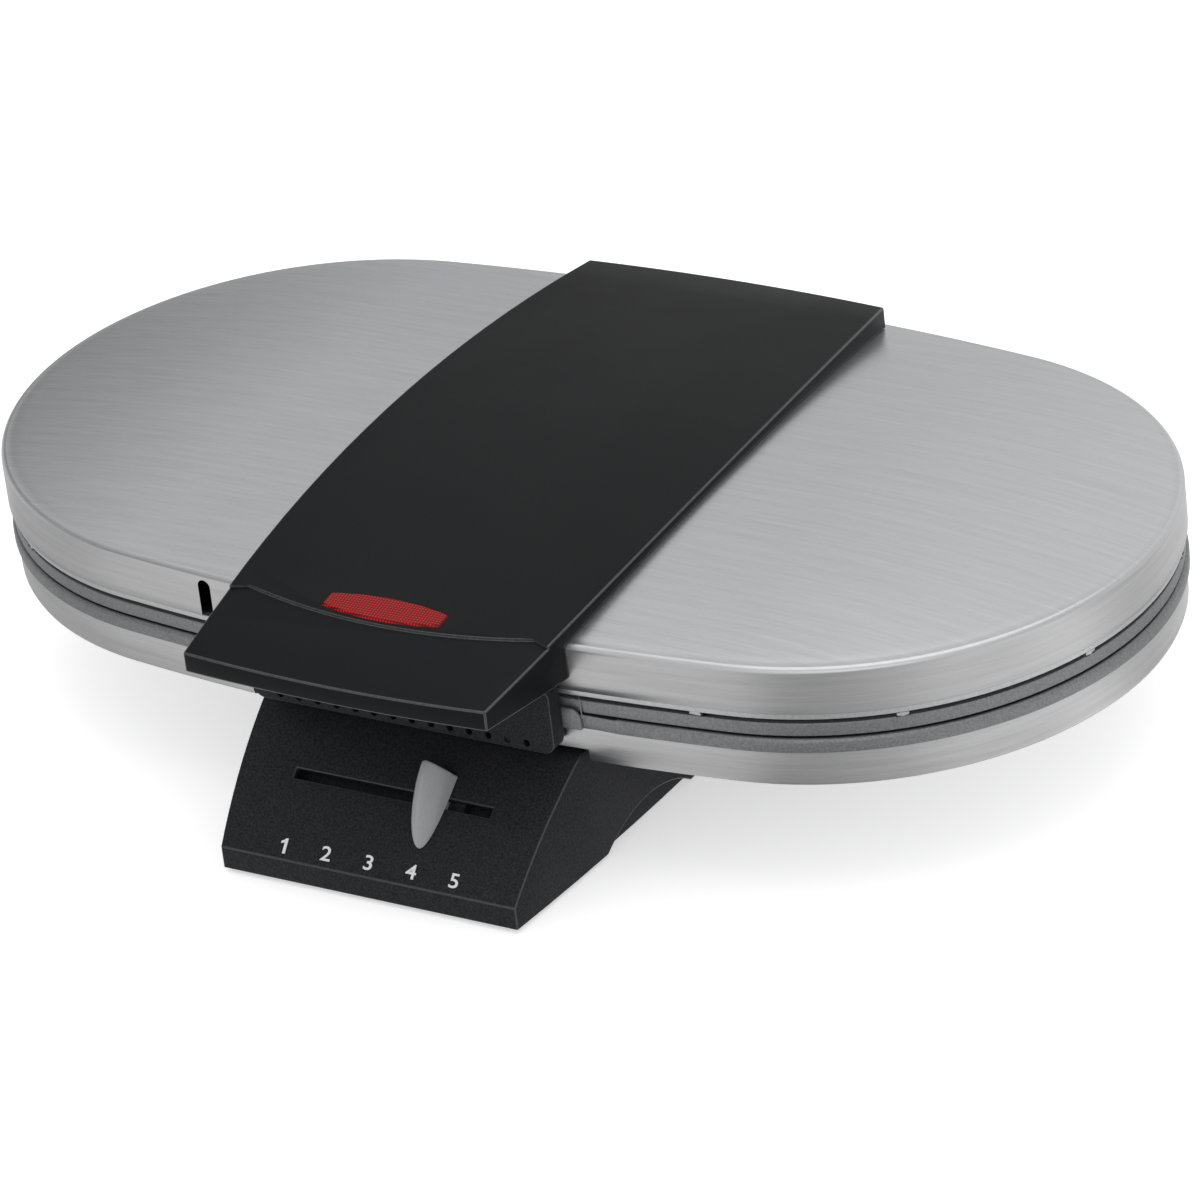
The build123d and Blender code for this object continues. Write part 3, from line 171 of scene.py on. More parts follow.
# Digits: the outline of the one as shares of its height, and how far all are widened
FLAGGED_ONE = (
    (0.02, -0.5), (0.17, -0.5), (0.17, 0.5), (0.05, 0.5),
    (-0.03, 0.38), (-0.2, 0.28), (-0.2, 0.15), (0.02, 0.25),
)
DIGIT_STRETCH = 1.2
DIGIT_SHIFT = -0.5
DIGIT_THICKNESS = 0.08
DIGIT_WEIGHT = 0.07
DIGIT_MERGE = 1e-5
FONT_SIZE = 1.37

# Knob over the slot
KNOB_ABOVE = 9.2
KNOB_LEAN = 0.38
KNOB_SIDES = 40
KNOB_STATIONS = 26
KNOB_TIP = 0.9985
KNOB_FOOT = 1.2
KNOB_SAG = 0.8
KNOB_LIFT = 0.3
KNOB_ROUND = 0.5
STEM_LENGTH = 6.6
STEM_WIDTH = 2.8
STEM_HEIGHT = 6.0
STEM_MIDDLE = -2.4

# Powers of the knob's curves: its plan, its falling ridge, its tip and the two sides of its section
PLAN_POWER = 2.4
RIDGE_POWER = 1.8
TIP_POWER = 14
RIGHT_POWER = 1.35
LEFT_RISE_POWER = 0.9
LEFT_ACROSS_POWER = 1.1

# Slots in the lid's wall
WALL_SLOT_X = -73.5
WALL_SLOT_TOP = 78.8
WALL_SLOT_WIDTH = 4.7
ARM_X = 36.0
ARM_SLOT = 7.0
ARM_SLOT_TOP = 74.6
CUTTER_DEPTH = 12.0
CUTTER_BELOW = 5.0
CUTTER_SIDES = 32
WALL_SLOT_IN = 3.0

# Finishes by name, filled by the first operator
FINISHES = {}


def arc_centre(a, b, c):
    """Centre and radius of the circle through three points."""
    turn = 2 * (a[0] * (b[1] - c[1]) + b[0] * (c[1] - a[1]) + c[0] * (a[1] - b[1]))
    sa, sb, sc = (p[0] ** 2 + p[1] ** 2 for p in (a, b, c))
    x = (sa * (b[1] - c[1]) + sb * (c[1] - a[1]) + sc * (a[1] - b[1])) / turn
    y = (sa * (c[0] - b[0]) + sb * (a[0] - c[0]) + sc * (b[0] - a[0])) / turn
    return x, y, math.hypot(a[0] - x, a[1] - y)


CONSOLE_CY, CONSOLE_CZ, CONSOLE_RADIUS = arc_centre(*CONSOLE_ARC)


def console_height(y):
    """Height of the console's curved face at a depth y."""
    return CONSOLE_CZ + math.sqrt(CONSOLE_RADIUS**2 - (y - CONSOLE_CY) ** 2)


def console_frame(x, y):
    """Matrix of a spot on the console: X along the slot, Y up the slope, Z out of the face."""
    slope = math.asin((CONSOLE_CY - y) / CONSOLE_RADIUS)
    spot = Matrix.Translation((x, y, console_height(y)))
    return spot @ Matrix.Rotation(slope, 4, "X")


def strip_z(y):
    """Height of the strip's arched top at a depth y."""
    return STRIP_PEAK - STRIP_RADIUS + math.sqrt(STRIP_RADIUS**2 - (y - STRIP_PEAK_Y) ** 2)


def strip_half(y):
    """Half width of the strip at a depth y."""
    return WAIST_HALF - BARREL_RADIUS + math.sqrt(BARREL_RADIUS**2 - (y - BARREL_Y) ** 2)


def crease_y(x):
    """Depth of the bowed crease in front of the window, and of its ends, which turn forward."""
    if abs(x) > CREASE_HALF:
        return CREASE_Y - CREASE_TURN * (abs(x) - CREASE_HALF) / (WAIST_HALF - CREASE_HALF)
    return CREASE_Y - CREASE_SAG * (1 - (x / CREASE_HALF) ** 2)


def dome_z(inset):
    """Height of the lid's dome at a distance inward from its outline."""
    share = 1 - min(max(inset, 0.0), END_RADIUS) / END_RADIUS
    return LID_EDGE + LID_RISE * (1 - share**2)


def oval_depth(x, y):
    """Distance inward from the oval outline to a point."""
    if abs(x) > END_CENTRE:
        return END_RADIUS - math.hypot(abs(x) - END_CENTRE, y)
    centre = LONG_RADIUS - HALF_DEPTH
    return LONG_RADIUS - math.hypot(x, abs(y) + centre)


def round_oval(x, y):
    """Distance round the outline from its right end to the foot of a point."""
    half_turn = math.pi / 2 - LEAN
    if abs(x) < abs(y) * math.tan(half_turn) + END_CENTRE:
        angle = math.atan2(x, abs(y) + LONG_RADIUS - HALF_DEPTH)
        if abs(angle) < half_turn:
            return math.copysign(END_RADIUS * LEAN + LONG_RADIUS * (half_turn - angle), y)
    angle = math.atan2(y, abs(x) - END_CENTRE)
    if x > 0:
        return END_RADIUS * angle
    return math.copysign(2 * END_RADIUS * LEAN + 2 * LONG_RADIUS * half_turn - END_RADIUS * abs(angle), y)


def oval_angles():
    """Directions of the outline's normals, close together on the ends and the long sides."""
    spans = (
        (-LEAN, LEAN, END_STEPS),
        (LEAN, math.pi - LEAN, LONG_STEPS),
        (math.pi - LEAN, math.pi + LEAN, END_STEPS),
        (math.pi + LEAN, 2 * math.pi - LEAN, LONG_STEPS),
    )
    return [low + (high - low) * i / n for low, high, n in spans for i in range(n)]


def oval_point(angle, inset):
    """Point of the outline, moved inward, where its normal has this direction."""
    x, y = math.cos(angle), math.sin(angle)
    if abs(y) <= math.sin(LEAN) + 1e-9:
        return math.copysign(END_CENTRE, x) + (END_RADIUS - inset) * x, (END_RADIUS - inset) * y
    shift = math.copysign(LONG_RADIUS - HALF_DEPTH, y)
    return (LONG_RADIUS - inset) * x, (LONG_RADIUS - inset) * y - shift


def to_metres(bm):
    """Scale a bmesh drawn in millimetres and put it in its place in the frame."""
    bmesh.ops.scale(bm, vec=(MM, MM, MM), verts=bm.verts)
    bmesh.ops.translate(bm, vec=(0, OVAL_Y, 0), verts=bm.verts)


def as_mesh(bm, name):
    """Mesh of a bmesh, which is freed."""
    mesh = bpy.data.meshes.new(name)
    bm.to_mesh(mesh)
    bm.free()
    return mesh


def add_piece(mesh, name, body, finishes, replaces=(), sharp=35.0):
    """Object of a mesh that is already in place, in metres."""
    old_normals = mesh.attributes.get("custom_normal")
    if old_normals:
        mesh.attributes.remove(old_normals)
    mesh.shade_smooth()
    mesh.set_sharp_from_angle(angle=math.radians(sharp))
    for finish in finishes:
        mesh.materials.append(FINISHES[finish])
    piece = bpy.data.objects.new(name, mesh)
    bpy.context.scene.collection.objects.link(piece)
    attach(piece, body)
    if replaces:
        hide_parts(*replaces)
    return piece


def evaluated_mesh(block):
    """Mesh of an object with its modifiers or its text made real."""
    bpy.context.scene.view_layers[0].update()
    return bpy.data.meshes.new_from_object(block.evaluated_get(bpy.context.evaluated_depsgraph_get()))


def cut_out(mesh, cutters):
    """Mesh with the solids of the cutter meshes taken out of it."""
    scene = bpy.context.scene
    block = bpy.data.objects.new("cut_block", mesh)
    scene.collection.objects.link(block)
    tools = []
    for cutter in cutters:
        tool = bpy.data.objects.new("cut_tool", cutter)
        scene.collection.objects.link(tool)
        tools.append(tool)
        cut = block.modifiers.new("Cut", "BOOLEAN")
        cut.operation = "DIFFERENCE"
        cut.solver = "EXACT"
        cut.object = tool
    result = evaluated_mesh(block)
    for used in (block, *tools):
        bpy.data.objects.remove(used)
    return result


def slot_cutter(x, y, width, top):
    """Upright slot with a round top through the lid's wall."""
    bm = bmesh.new()
    ring = list(bmesh.ops.create_circle(bm, segments=CUTTER_SIDES, radius=width / 2)["verts"])
    bmesh.ops.rotate(bm, cent=(0, 0, 0), matrix=Matrix.Rotation(math.pi / 2, 3, "X"), verts=ring)
    for vert in ring:
        vert.co.z += top - width / 2 if vert.co.z > -MERGE else LID_BOTTOM - CUTTER_BELOW
    face = bmesh.ops.contextual_create(bm, geom=ring)["faces"]
    back = bmesh.ops.extrude_face_region(bm, geom=face)["geom"]
    moved = [v for v in back if isinstance(v, bmesh.types.BMVert)]
    bmesh.ops.translate(bm, vec=(0, CUTTER_DEPTH, 0), verts=moved)
    bmesh.ops.translate(bm, vec=(x, y - CUTTER_DEPTH / 2, 0), verts=bm.verts)
    bmesh.ops.recalc_face_normals(bm, faces=bm.faces)
    to_metres(bm)
    return as_mesh(bm, "slot_cutter")


def body_of(name):
    """Body that a CAD node rides on."""
    return next(body for body, names in frame["record"]["behaviour"]["bodies"].items() if name in names)


def join_flat(bm, near):
    """Join the loose triangles of flat faces, only where near allows it if it is given."""
    chosen = [v for v in bm.verts if near is None or near(*place_of(v))]
    inner = set(chosen)
    joined = [e for e in bm.edges if all(v in inner for v in e.verts)]
    bmesh.ops.dissolve_limit(bm, angle_limit=math.radians(FLAT), verts=chosen, edges=joined)


def round_edges(bm, width, where, angle):
    """Round the edges that turn by more than an angle, only where the test allows it, and give the new faces.

    With a test, edges too short for the width are left sharp; without one they limit the width.
    """
    turned = [e for e in bm.edges if e.is_manifold and e.calc_face_angle(0) > math.radians(angle)]
    if where:
        turned = [e for e in turned if e.calc_length() > width * MM]
        turned = [e for e in turned if all(where(*place_of(v)) for v in e.verts)]
    return bmesh.ops.bevel(
        bm, geom=turned, offset=width * MM, offset_type="OFFSET", segments=3, profile=0.5,
        affect="EDGES", clamp_overlap=not where, material=-1,
    )["faces"]


def dressed(name, finishes, rounds, angle=35.0, uv=False, pick=None, edge=None, near=None, shift=None):
    """Copy of a CAD node in its place, its loose triangles joined and its edges rounded.

    Each of rounds is a width in millimetres and a test of where it goes, or None for everywhere.
    edge is the finish of the rounded edges, and pick gives the finish of a face from its centre
    and its upward share. Triangles are joined only in near, where it is given, and shift is a
    test of what moves outwards from the oval's middle and how far.
    """
    bm = bmesh.new()
    bm.from_mesh(frame["nodes"][name].data)
    bmesh.ops.remove_doubles(bm, verts=bm.verts, dist=MERGE)
    join_flat(bm, near)
    if shift:
        for vert in [v for v in bm.verts if shift[0](*place_of(v))]:
            vert.co += outward(vert) * shift[1] * MM
    for width, where in rounds:
        made = round_edges(bm, width, where, angle)
        # The rounded edges take the edge finish, a paler one that paints their highlight
        for face in made if edge else ():
            face.material_index = edge
    bm.normal_update()
    if uv:
        lay_uv(bm, bm.loops.layers.uv.new("UVMap"))
    if pick:
        for face in bm.faces:
            centre = face.calc_center_median()
            face.material_index = face.material_index or pick(
                centre.x / MM, (centre.y - OVAL_Y) / MM, centre.z / MM, face.normal.z
            )
    return add_piece(as_mesh(bm, f"{name}_dressed"), f"{name}_dressed", body_of(name), finishes, (name,))


def place_of(vert):
    """Place of a vertex in millimetres about the oval's centre."""
    return vert.co.x / MM, (vert.co.y - OVAL_Y) / MM, vert.co.z / MM


def outward(vert):
    """Level direction from the middle of a vertex's arc of the oval to the vertex."""
    x, y, z = place_of(vert)
    middle = Vector((math.copysign(END_CENTRE, x), 0, 0))
    if abs(x) < END_CENTRE:
        middle = Vector((0, math.copysign(LONG_RADIUS - HALF_DEPTH, -y), 0))
    return (Vector((x, y, 0)) - middle).normalized()


def next_ring(bm, ring):
    """Extrude a closed ring of vertices and give the new ring in the same order."""
    edges = [bm.edges.get((a, b)) for a, b in zip(ring, ring[1:] + ring[:1])]
    made = bmesh.ops.extrude_edge_only(bm, edges=edges)["geom"]
    new = {v for v in made if isinstance(v, bmesh.types.BMVert)}
    return [next(e.other_vert(v) for e in v.link_edges if e.other_vert(v) in new) for v in ring]


def oval_skin(bm, angles, rings):
    """Skin through rings of the oval, each a distance inward and a height; gives the end rings."""
    ring = first = list(bmesh.ops.create_circle(bm, segments=len(angles), radius=1.0)["verts"])
    for index, (inset, z) in enumerate(rings):
        ring = next_ring(bm, ring) if index else ring
        for vert, angle in zip(ring, angles):
            vert.co = (*oval_point(angle, inset), z)
    return first, ring


def cap(bm, ring):
    """Close a ring with one face."""
    bmesh.ops.contextual_create(bm, geom=[bm.edges.get((a, b)) for a, b in zip(ring, ring[1:] + ring[:1])])


def lay_uv(bm, uv):
    """Lines along X on level faces, and round the oval on upright ones, in metres."""
    bm.normal_update()
    whole = 2 * (2 * END_RADIUS * LEAN + 2 * LONG_RADIUS * (math.pi / 2 - LEAN))
    for face in bm.faces:
        first = None
        for loop in face.loops:
            x, y, z = place_of(loop.vert)
            if abs(face.normal.z) > LEVEL:
                loop[uv].uv = (x * MM, y * MM)
                continue
            way = round_oval(x, y)
            first = way if first is None else first
            loop[uv].uv = ((way + whole * round((first - way) / whole)) * MM, z * MM)


# Wide streaks are stretched noise, and fine ones have the larger share of the brushed tone
BROAD_STRETCH = (0.4, 0.12, 1.0)
FINE_SHARE = 0.6
STREAK_BAND = (0.38, 0.62)
STEEL_ROUGHNESS = (0.26, 0.34)
RIB_SCALE = 300.0


def node(tree, kind, **values):
    """New shader node; keys are its attributes or, in capitals with underscores, its inputs."""
    made = tree.nodes.new(kind)
    for key, value in values.items():
        if hasattr(made, key):
            setattr(made, key, value)
        else:
            made.inputs[key.replace("_", " ")].default_value = value
    return made


def link(tree, source, target):
    """Join an output socket to an input socket."""
    tree.links.new(source, target)


def group(name, inputs, outputs):
    """Empty node group with float, vector or colour sockets."""
    tree = bpy.data.node_groups.new(name, "ShaderNodeTree")
    for label, kind, default in inputs:
        socket = tree.interface.new_socket(label, in_out="INPUT", socket_type=f"NodeSocket{kind}")
        if default is not None:
            socket.default_value = default
    for label, kind in outputs:
        tree.interface.new_socket(label, in_out="OUTPUT", socket_type=f"NodeSocket{kind}")
    return tree, node(tree, "NodeGroupInput"), node(tree, "NodeGroupOutput")


def streaks_group():
    """Brushed streaks: long thin noise in two sizes, as a mask from 0 to 1."""
    tree, given, out = group(
        "Brushed Streaks",
        [("Vector", "Vector", None), ("Length", "Float", 0.03), ("Width", "Float", 0.0004)],
        [("Fine", "Float"), ("Broad", "Float")],
    )
    split = node(tree, "ShaderNodeSeparateXYZ")
    link(tree, given.outputs["Vector"], split.inputs[0])
    along = node(tree, "ShaderNodeMath", operation="DIVIDE")
    across = node(tree, "ShaderNodeMath", operation="DIVIDE")
    link(tree, split.outputs["X"], along.inputs[0])
    link(tree, given.outputs["Length"], along.inputs[1])
    link(tree, split.outputs["Y"], across.inputs[0])
    link(tree, given.outputs["Width"], across.inputs[1])
    joined = node(tree, "ShaderNodeCombineXYZ")
    link(tree, along.outputs[0], joined.inputs["X"])
    link(tree, across.outputs[0], joined.inputs["Y"])
    fine = node(tree, "ShaderNodeTexNoise", Scale=1.0, Detail=3.0, Roughness=0.7)
    link(tree, joined.outputs[0], fine.inputs["Vector"])
    link(tree, fine.outputs["Fac"], out.inputs["Fine"])
    slow = node(tree, "ShaderNodeVectorMath", operation="MULTIPLY")
    slow.inputs[1].default_value = BROAD_STRETCH
    link(tree, joined.outputs[0], slow.inputs[0])
    broad = node(tree, "ShaderNodeTexNoise", Scale=1.0, Detail=2.0, Roughness=0.5)
    link(tree, slow.outputs[0], broad.inputs["Vector"])
    link(tree, broad.outputs["Fac"], out.inputs["Broad"])
    return tree


def grain_group():
    """Fine moulded or cast grain: speckle mask and height from Object coordinates."""
    tree, given, out = group(
        "Surface Grain",
        [("Vector", "Vector", None), ("Scale", "Float", 1500.0), ("Patch Scale", "Float", 25.0)],
        [("Speckle", "Float"), ("Height", "Float"), ("Patches", "Float")],
    )
    fine = node(tree, "ShaderNodeTexNoise", Detail=2.0, Roughness=0.6)
    cells = node(tree, "ShaderNodeTexVoronoi", feature="SMOOTH_F1")
    patches = node(tree, "ShaderNodeTexNoise", Detail=3.0, Roughness=0.5)
    for texture, scale in ((fine, "Scale"), (cells, "Scale"), (patches, "Patch Scale")):
        link(tree, given.outputs["Vector"], texture.inputs["Vector"])
        link(tree, given.outputs[scale], texture.inputs["Scale"])
    link(tree, fine.outputs["Fac"], out.inputs["Speckle"])
    link(tree, cells.outputs["Distance"], out.inputs["Height"])
    link(tree, patches.outputs["Fac"], out.inputs["Patches"])
    return tree


def material(name, **values):
    """Principled material with constants set on the shader's own sockets."""
    made = bpy.data.materials.new(name)
    made.use_nodes = True
    shader = made.node_tree.nodes["Principled BSDF"]
    for key, value in values.items():
        shader.inputs[key.replace("_", " ")].default_value = value
    return made, made.node_tree, shader


def ramp(tree, source, low, high, target, start=0.3, stop=0.7):
    """Spread a mask between two colours and feed a colour socket."""
    made = node(tree, "ShaderNodeValToRGB")
    made.color_ramp.elements[0].position = start
    made.color_ramp.elements[0].color = (*low, 1)
    made.color_ramp.elements[1].position = stop
    made.color_ramp.elements[1].color = (*high, 1)
    link(tree, source, made.inputs[0])
    link(tree, made.outputs["Color"], target)
    return made


def spread(tree, source, low, high, target, start=0.3, stop=0.7):
    """Map a mask to a range of values and feed a float socket."""
    made = node(tree, "ShaderNodeMapRange")
    for key, value in (("From Min", start), ("From Max", stop), ("To Min", low), ("To Max", high)):
        made.inputs[key].default_value = value
    link(tree, source, made.inputs["Value"])
    link(tree, made.outputs["Result"], target)
    return made


def bump(tree, source, shader, strength, distance):
    """Feed a height to the shader's normal."""
    made = node(tree, "ShaderNodeBump", Strength=strength, Distance=distance)
    link(tree, source, made.inputs["Height"])
    link(tree, made.outputs["Normal"], shader.inputs["Normal"])
    return made


def brushed_steel(name, groups, low, high, length=0.02, width=0.00022, uv=True):
    """Brushed steel whose lines follow the UV map's first axis, or X where there is none."""
    made, tree, shader = material(name, Metallic=1.0, Anisotropic=0.65)
    place = node(tree, "ShaderNodeTexCoord")
    streaks = node(tree, "ShaderNodeGroup", node_tree=groups["streaks"])
    streaks.inputs["Length"].default_value = length
    streaks.inputs["Width"].default_value = width
    link(tree, place.outputs["UV" if uv else "Object"], streaks.inputs["Vector"])
    if uv:
        tangent = node(tree, "ShaderNodeTangent", direction_type="UV_MAP", uv_map="UVMap")
        link(tree, tangent.outputs[0], shader.inputs["Tangent"])
    mix = node(tree, "ShaderNodeMath", operation="MULTIPLY_ADD")
    mix.inputs[1].default_value = FINE_SHARE
    link(tree, streaks.outputs["Fine"], mix.inputs[0])
    part = node(tree, "ShaderNodeMath", operation="MULTIPLY")
    part.inputs[1].default_value = 1 - FINE_SHARE
    link(tree, streaks.outputs["Broad"], part.inputs[0])
    link(tree, part.outputs[0], mix.inputs[2])
    ramp(tree, mix.outputs[0], low, high, shader.inputs["Base Color"], *STREAK_BAND)
    spread(tree, streaks.outputs["Fine"], *STEEL_ROUGHNESS, shader.inputs["Roughness"])
    bump(tree, streaks.outputs["Fine"], shader, 0.03, 0.00005)
    return made


def shade(colour, share):
    """Darker tone of a colour."""
    return tuple(channel * share for channel in colour)


def grained(name, groups, low, high, rough, scale, strength, distance=0.0001, **values):
    """Moulded plastic, rubber or cast metal with a fine grain and faint patches."""
    made, tree, shader = material(name, **values)
    place = node(tree, "ShaderNodeTexCoord")
    grain = node(tree, "ShaderNodeGroup", node_tree=groups["grain"])
    grain.inputs["Scale"].default_value = scale
    link(tree, place.outputs["Object"], grain.inputs["Vector"])
    ramp(tree, grain.outputs["Speckle"], low, high, shader.inputs["Base Color"])
    spread(tree, grain.outputs["Patches"], rough[0], rough[1], shader.inputs["Roughness"])
    bump(tree, grain.outputs["Height"], shader, strength, distance)
    return made


def make_materials(colours):
    """Every finish of the object, by name, from the colours that a user may set."""
    groups = {"streaks": streaks_group(), "grain": grain_group()}
    dull = {"Specular_IOR_Level": 0.1}
    return {
        # One steel in two tones: the lighter top is painted light and the darker walls painted shade
        "lit top steel": brushed_steel("Brushed Top Steel Painted Light", groups, shade(colours.steel, 0.883), colours.steel),
        "shaded side steel": brushed_steel("Brushed Side Steel Painted Shade", groups, (0.45, 0.45, 0.455), (0.535, 0.535, 0.54)),
        "plain steel": brushed_steel(
            "Rolled Steel", groups, (0.42, 0.42, 0.43), (0.52, 0.52, 0.53), 0.02, 0.0006, uv=False
        ),
        "cast": grained(
            "Cast Aluminium", groups, (0.17, 0.175, 0.18), (0.26, 0.265, 0.27), (0.38, 0.5), 1400.0, 0.2,
            Metallic=0.7,
        ),
        "machined": grained(
            "Machined Aluminium", groups, (0.44, 0.445, 0.45), (0.54, 0.545, 0.55), (0.28, 0.36), 900.0, 0.05,
            Metallic=0.8,
        ),
        "coated": grained(
            "Non-stick Coating", groups, (0.022, 0.022, 0.024), (0.036, 0.036, 0.039), (0.35, 0.45), 1600.0,
            0.15, Specular_IOR_Level=0.3
        ),
        "strip": grained(
            "Satin Black Plastic", groups, shade(colours.strip, 0.63), colours.strip, (0.36, 0.44), 2200.0,
            0.06, **dull
        ),
        # Paler black of the strip's rounded edges and crease step: painted highlight where they would catch
        # the light
        "strip highlight": grained(
            "Strip Painted Highlight", groups, (0.035, 0.036, 0.038), (0.06, 0.061, 0.064), (0.22, 0.3), 900.0,
            0.02
        ),
        "housing": grained(
            "Grained Black Plastic", groups, shade(colours.housing, 0.32), colours.housing, (0.45, 0.55),
            1500.0, 0.35, **dull
        ),
        # Paler black of the housing's and guard's rounded edges: painted highlight where they would catch the
        # light
        "housing highlight": grained(
            "Housing Painted Highlight", groups, (0.022, 0.023, 0.025), (0.042, 0.043, 0.046), (0.3, 0.4), 1200.0, 0.1
        ),
        "knob": grained(
            "Silver Grey Plastic", groups, shade(colours.knob, 0.92), colours.knob, (0.15, 0.2), 1800.0, 0.02
        ),
        "rubber": grained("Black Rubber", groups, (0.015,) * 3, (0.022,) * 3, (0.6, 0.7), 900.0, 0.2),
        "ceramic": grained(
            "Glazed Ceramic", groups, (0.62, 0.60, 0.55), (0.68, 0.66, 0.61), (0.2, 0.3), 600.0, 0.02
        ),
        "heater": grained(
            "Heater Tube", groups, (0.10, 0.10, 0.10), (0.16, 0.155, 0.15), (0.35, 0.5), 700.0, 0.1,
            Metallic=0.8
        ),
        "print": grained(
            "White Print", groups, (0.78, 0.79, 0.80), (0.84, 0.85, 0.86), (0.45, 0.5), 2500.0, 0.02
        ),
        "glass": grained("Lamp Glass", groups, (0.85, 0.5, 0.35), (0.9, 0.55, 0.4), (0.08, 0.12), 300.0, 0.0),
        "lens": lens_material(colours.lens),
    }


def lens_material(colour):
    """Clear red plastic, cross-ribbed behind, with painted shade darkening the ribs' valleys."""
    made, tree, shader = material("Red Lens", Roughness=0.16, Specular_IOR_Level=0.2)
    place = node(tree, "ShaderNodeTexCoord")
    waves = []
    for turn in (0.0, math.pi / 2):
        spin = node(tree, "ShaderNodeMapping")
        spin.inputs["Rotation"].default_value = (0, 0, turn)
        wave = node(tree, "ShaderNodeTexWave", Scale=RIB_SCALE, Distortion=0.0)
        link(tree, place.outputs["Object"], spin.inputs["Vector"])
        link(tree, spin.outputs[0], wave.inputs["Vector"])
        waves.append(wave)
    cross = node(tree, "ShaderNodeMath", operation="MULTIPLY")
    link(tree, waves[0].outputs["Fac"], cross.inputs[0])
    link(tree, waves[1].outputs["Fac"], cross.inputs[1])
    # Darker red in the ribs' valleys is painted shade for their relief
    ramp(tree, cross.outputs[0], shade(colour, 0.217), colour, shader.inputs["Base Color"], 0.0, 0.7)
    bump(tree, cross.outputs[0], shader, 0.2, 0.0003)
    return made


class LidSizes(bpy.types.PropertyGroup):
    """Sizes of the lid's skin."""

    edge_radius: FloatProperty(
        name="Edge radius", description="Rounding between the dome and the wall", default=0.002, unit="LENGTH"
    )


class StripSizes(bpy.types.PropertyGroup):
    """Sizes of the black strip."""

    edge_radius: FloatProperty(
        name="Edge radius", description="Rounding of the strip's edges", default=0.00055, unit="LENGTH"
    )


class ConsoleSizes(bpy.types.PropertyGroup):
    """Sizes of the console's digits and knob."""

    digit_height: FloatProperty(
        name="Digit height", description="Height of a digit", default=0.0047, unit="LENGTH"
    )
    digit_y: FloatProperty(
        name="Digit row", description="Depth of the row of digits from the oval's centre",
        default=-0.1441, unit="LENGTH"
    )
    knob_length: FloatProperty(
        name="Knob length", description="Length of the knob", default=0.0248, unit="LENGTH"
    )
    knob_width: FloatProperty(
        name="Knob width", description="Width of the knob", default=0.0092, unit="LENGTH"
    )
    knob_height: FloatProperty(
        name="Knob height", description="Height of the knob", default=0.0104, unit="LENGTH"
    )


class FinishColours(bpy.types.PropertyGroup):
    """Lighter tone of each main finish; its grain or streaks run from a darker tone to this one."""

    # The lid top's steel is lighter than the walls' steel, a painted light on one material
    steel: FloatVectorProperty(
        name="Steel", description="Brushed steel of the lid's top", default=(0.59, 0.60, 0.61),
        subtype="COLOR", min=0.0, max=1.0,
    )
    strip: FloatVectorProperty(
        name="Strip", description="Black plastic of the strip", default=(0.008, 0.0085, 0.0098),
        subtype="COLOR", min=0.0, max=1.0,
    )
    housing: FloatVectorProperty(
        name="Housing", description="Black plastic of the pedestal", default=(0.032, 0.033, 0.037),
        subtype="COLOR", min=0.0, max=1.0,
    )
    knob: FloatVectorProperty(
        name="Knob", description="Grey plastic of the knob", default=(0.37, 0.38, 0.39),
        subtype="COLOR", min=0.0, max=1.0,
    )
    # The window's darker tone is painted shade in its ribs' valleys
    lens: FloatVectorProperty(
        name="Window", description="Red plastic of the window", default=(0.60, 0.006, 0.008),
        subtype="COLOR", min=0.0, max=1.0,
    )


class StageLook(bpy.types.PropertyGroup):
    """Colour of the stage."""

    floor_colour: FloatVectorProperty(
        name="Floor colour", description="Colour of the pale floor", default=(0.9, 0.9, 0.9),
        subtype="COLOR", min=0.0, max=1.0,
    )


class LidSkin(bpy.types.Operator):
    """Domed steel skin with its rounded edge and the slots in its wall"""

    bl_idname = "waffle.lid_skin"
    bl_label = "Lid Skin"

    def execute(self, context):
        radius = context.scene.waffle_lid.edge_radius / MM
        tilt = math.atan(2 * LID_RISE / END_RADIUS)
        centre_z = dome_z(radius * (1 - math.sin(tilt))) - radius * math.cos(tilt)
        outside = [(HEM, LID_BOTTOM), (0.0, LID_BOTTOM + HEM), (0.0, LID_BOTTOM + RING_GAP)]
        outside += [(0.0, centre_z - RING_GAP), (0.0, centre_z)]
        for step in range(1, EDGE_STEPS + 1):
            angle = math.pi - (math.pi / 2 + tilt) * step / EDGE_STEPS
            outside.append((radius + radius * math.cos(angle), centre_z + radius * math.sin(angle)))
        outside += [(inset, dome_z(inset)) for inset in DOME_RINGS]
        inside = [(inset, dome_z(inset) - SKIN) for inset in INNER_RINGS]
        inside += [(SKIN, centre_z - INNER_DROP), (SKIN, LID_BOTTOM), (HEM, LID_BOTTOM)]
        angles = oval_angles()
        bm = bmesh.new()
        cap(bm, oval_skin(bm, angles, outside)[1])
        cap(bm, oval_skin(bm, angles, inside)[0])
        bmesh.ops.remove_doubles(bm, verts=bm.verts, dist=DRAWN_MERGE)
        bmesh.ops.recalc_face_normals(bm, faces=bm.faces)
        to_metres(bm)
        lay_uv(bm, bm.loops.layers.uv.new("UVMap"))
        cutters = [slot_cutter(WALL_SLOT_X, WALL_SLOT_IN - HALF_DEPTH, WALL_SLOT_WIDTH, WALL_SLOT_TOP)]
        cutters += [slot_cutter(x, HALF_DEPTH, ARM_SLOT, ARM_SLOT_TOP) for x in (-ARM_X, ARM_X)]
        mesh = cut_out(as_mesh(bm, "lid_skin"), cutters)
        # Walls take the darker steel and level faces the lighter: painted shade and painted light on one
        # steel
        on_wall = [int(abs(face.normal.z) < WALL) for face in mesh.polygons]
        mesh.polygons.foreach_set("material_index", on_wall)
        finishes = ["lit top steel", "shaded side steel"]
        add_piece(mesh, "lid_skin", "lid", finishes, ("lid_shell",), sharp=50)
        return {"FINISHED"}


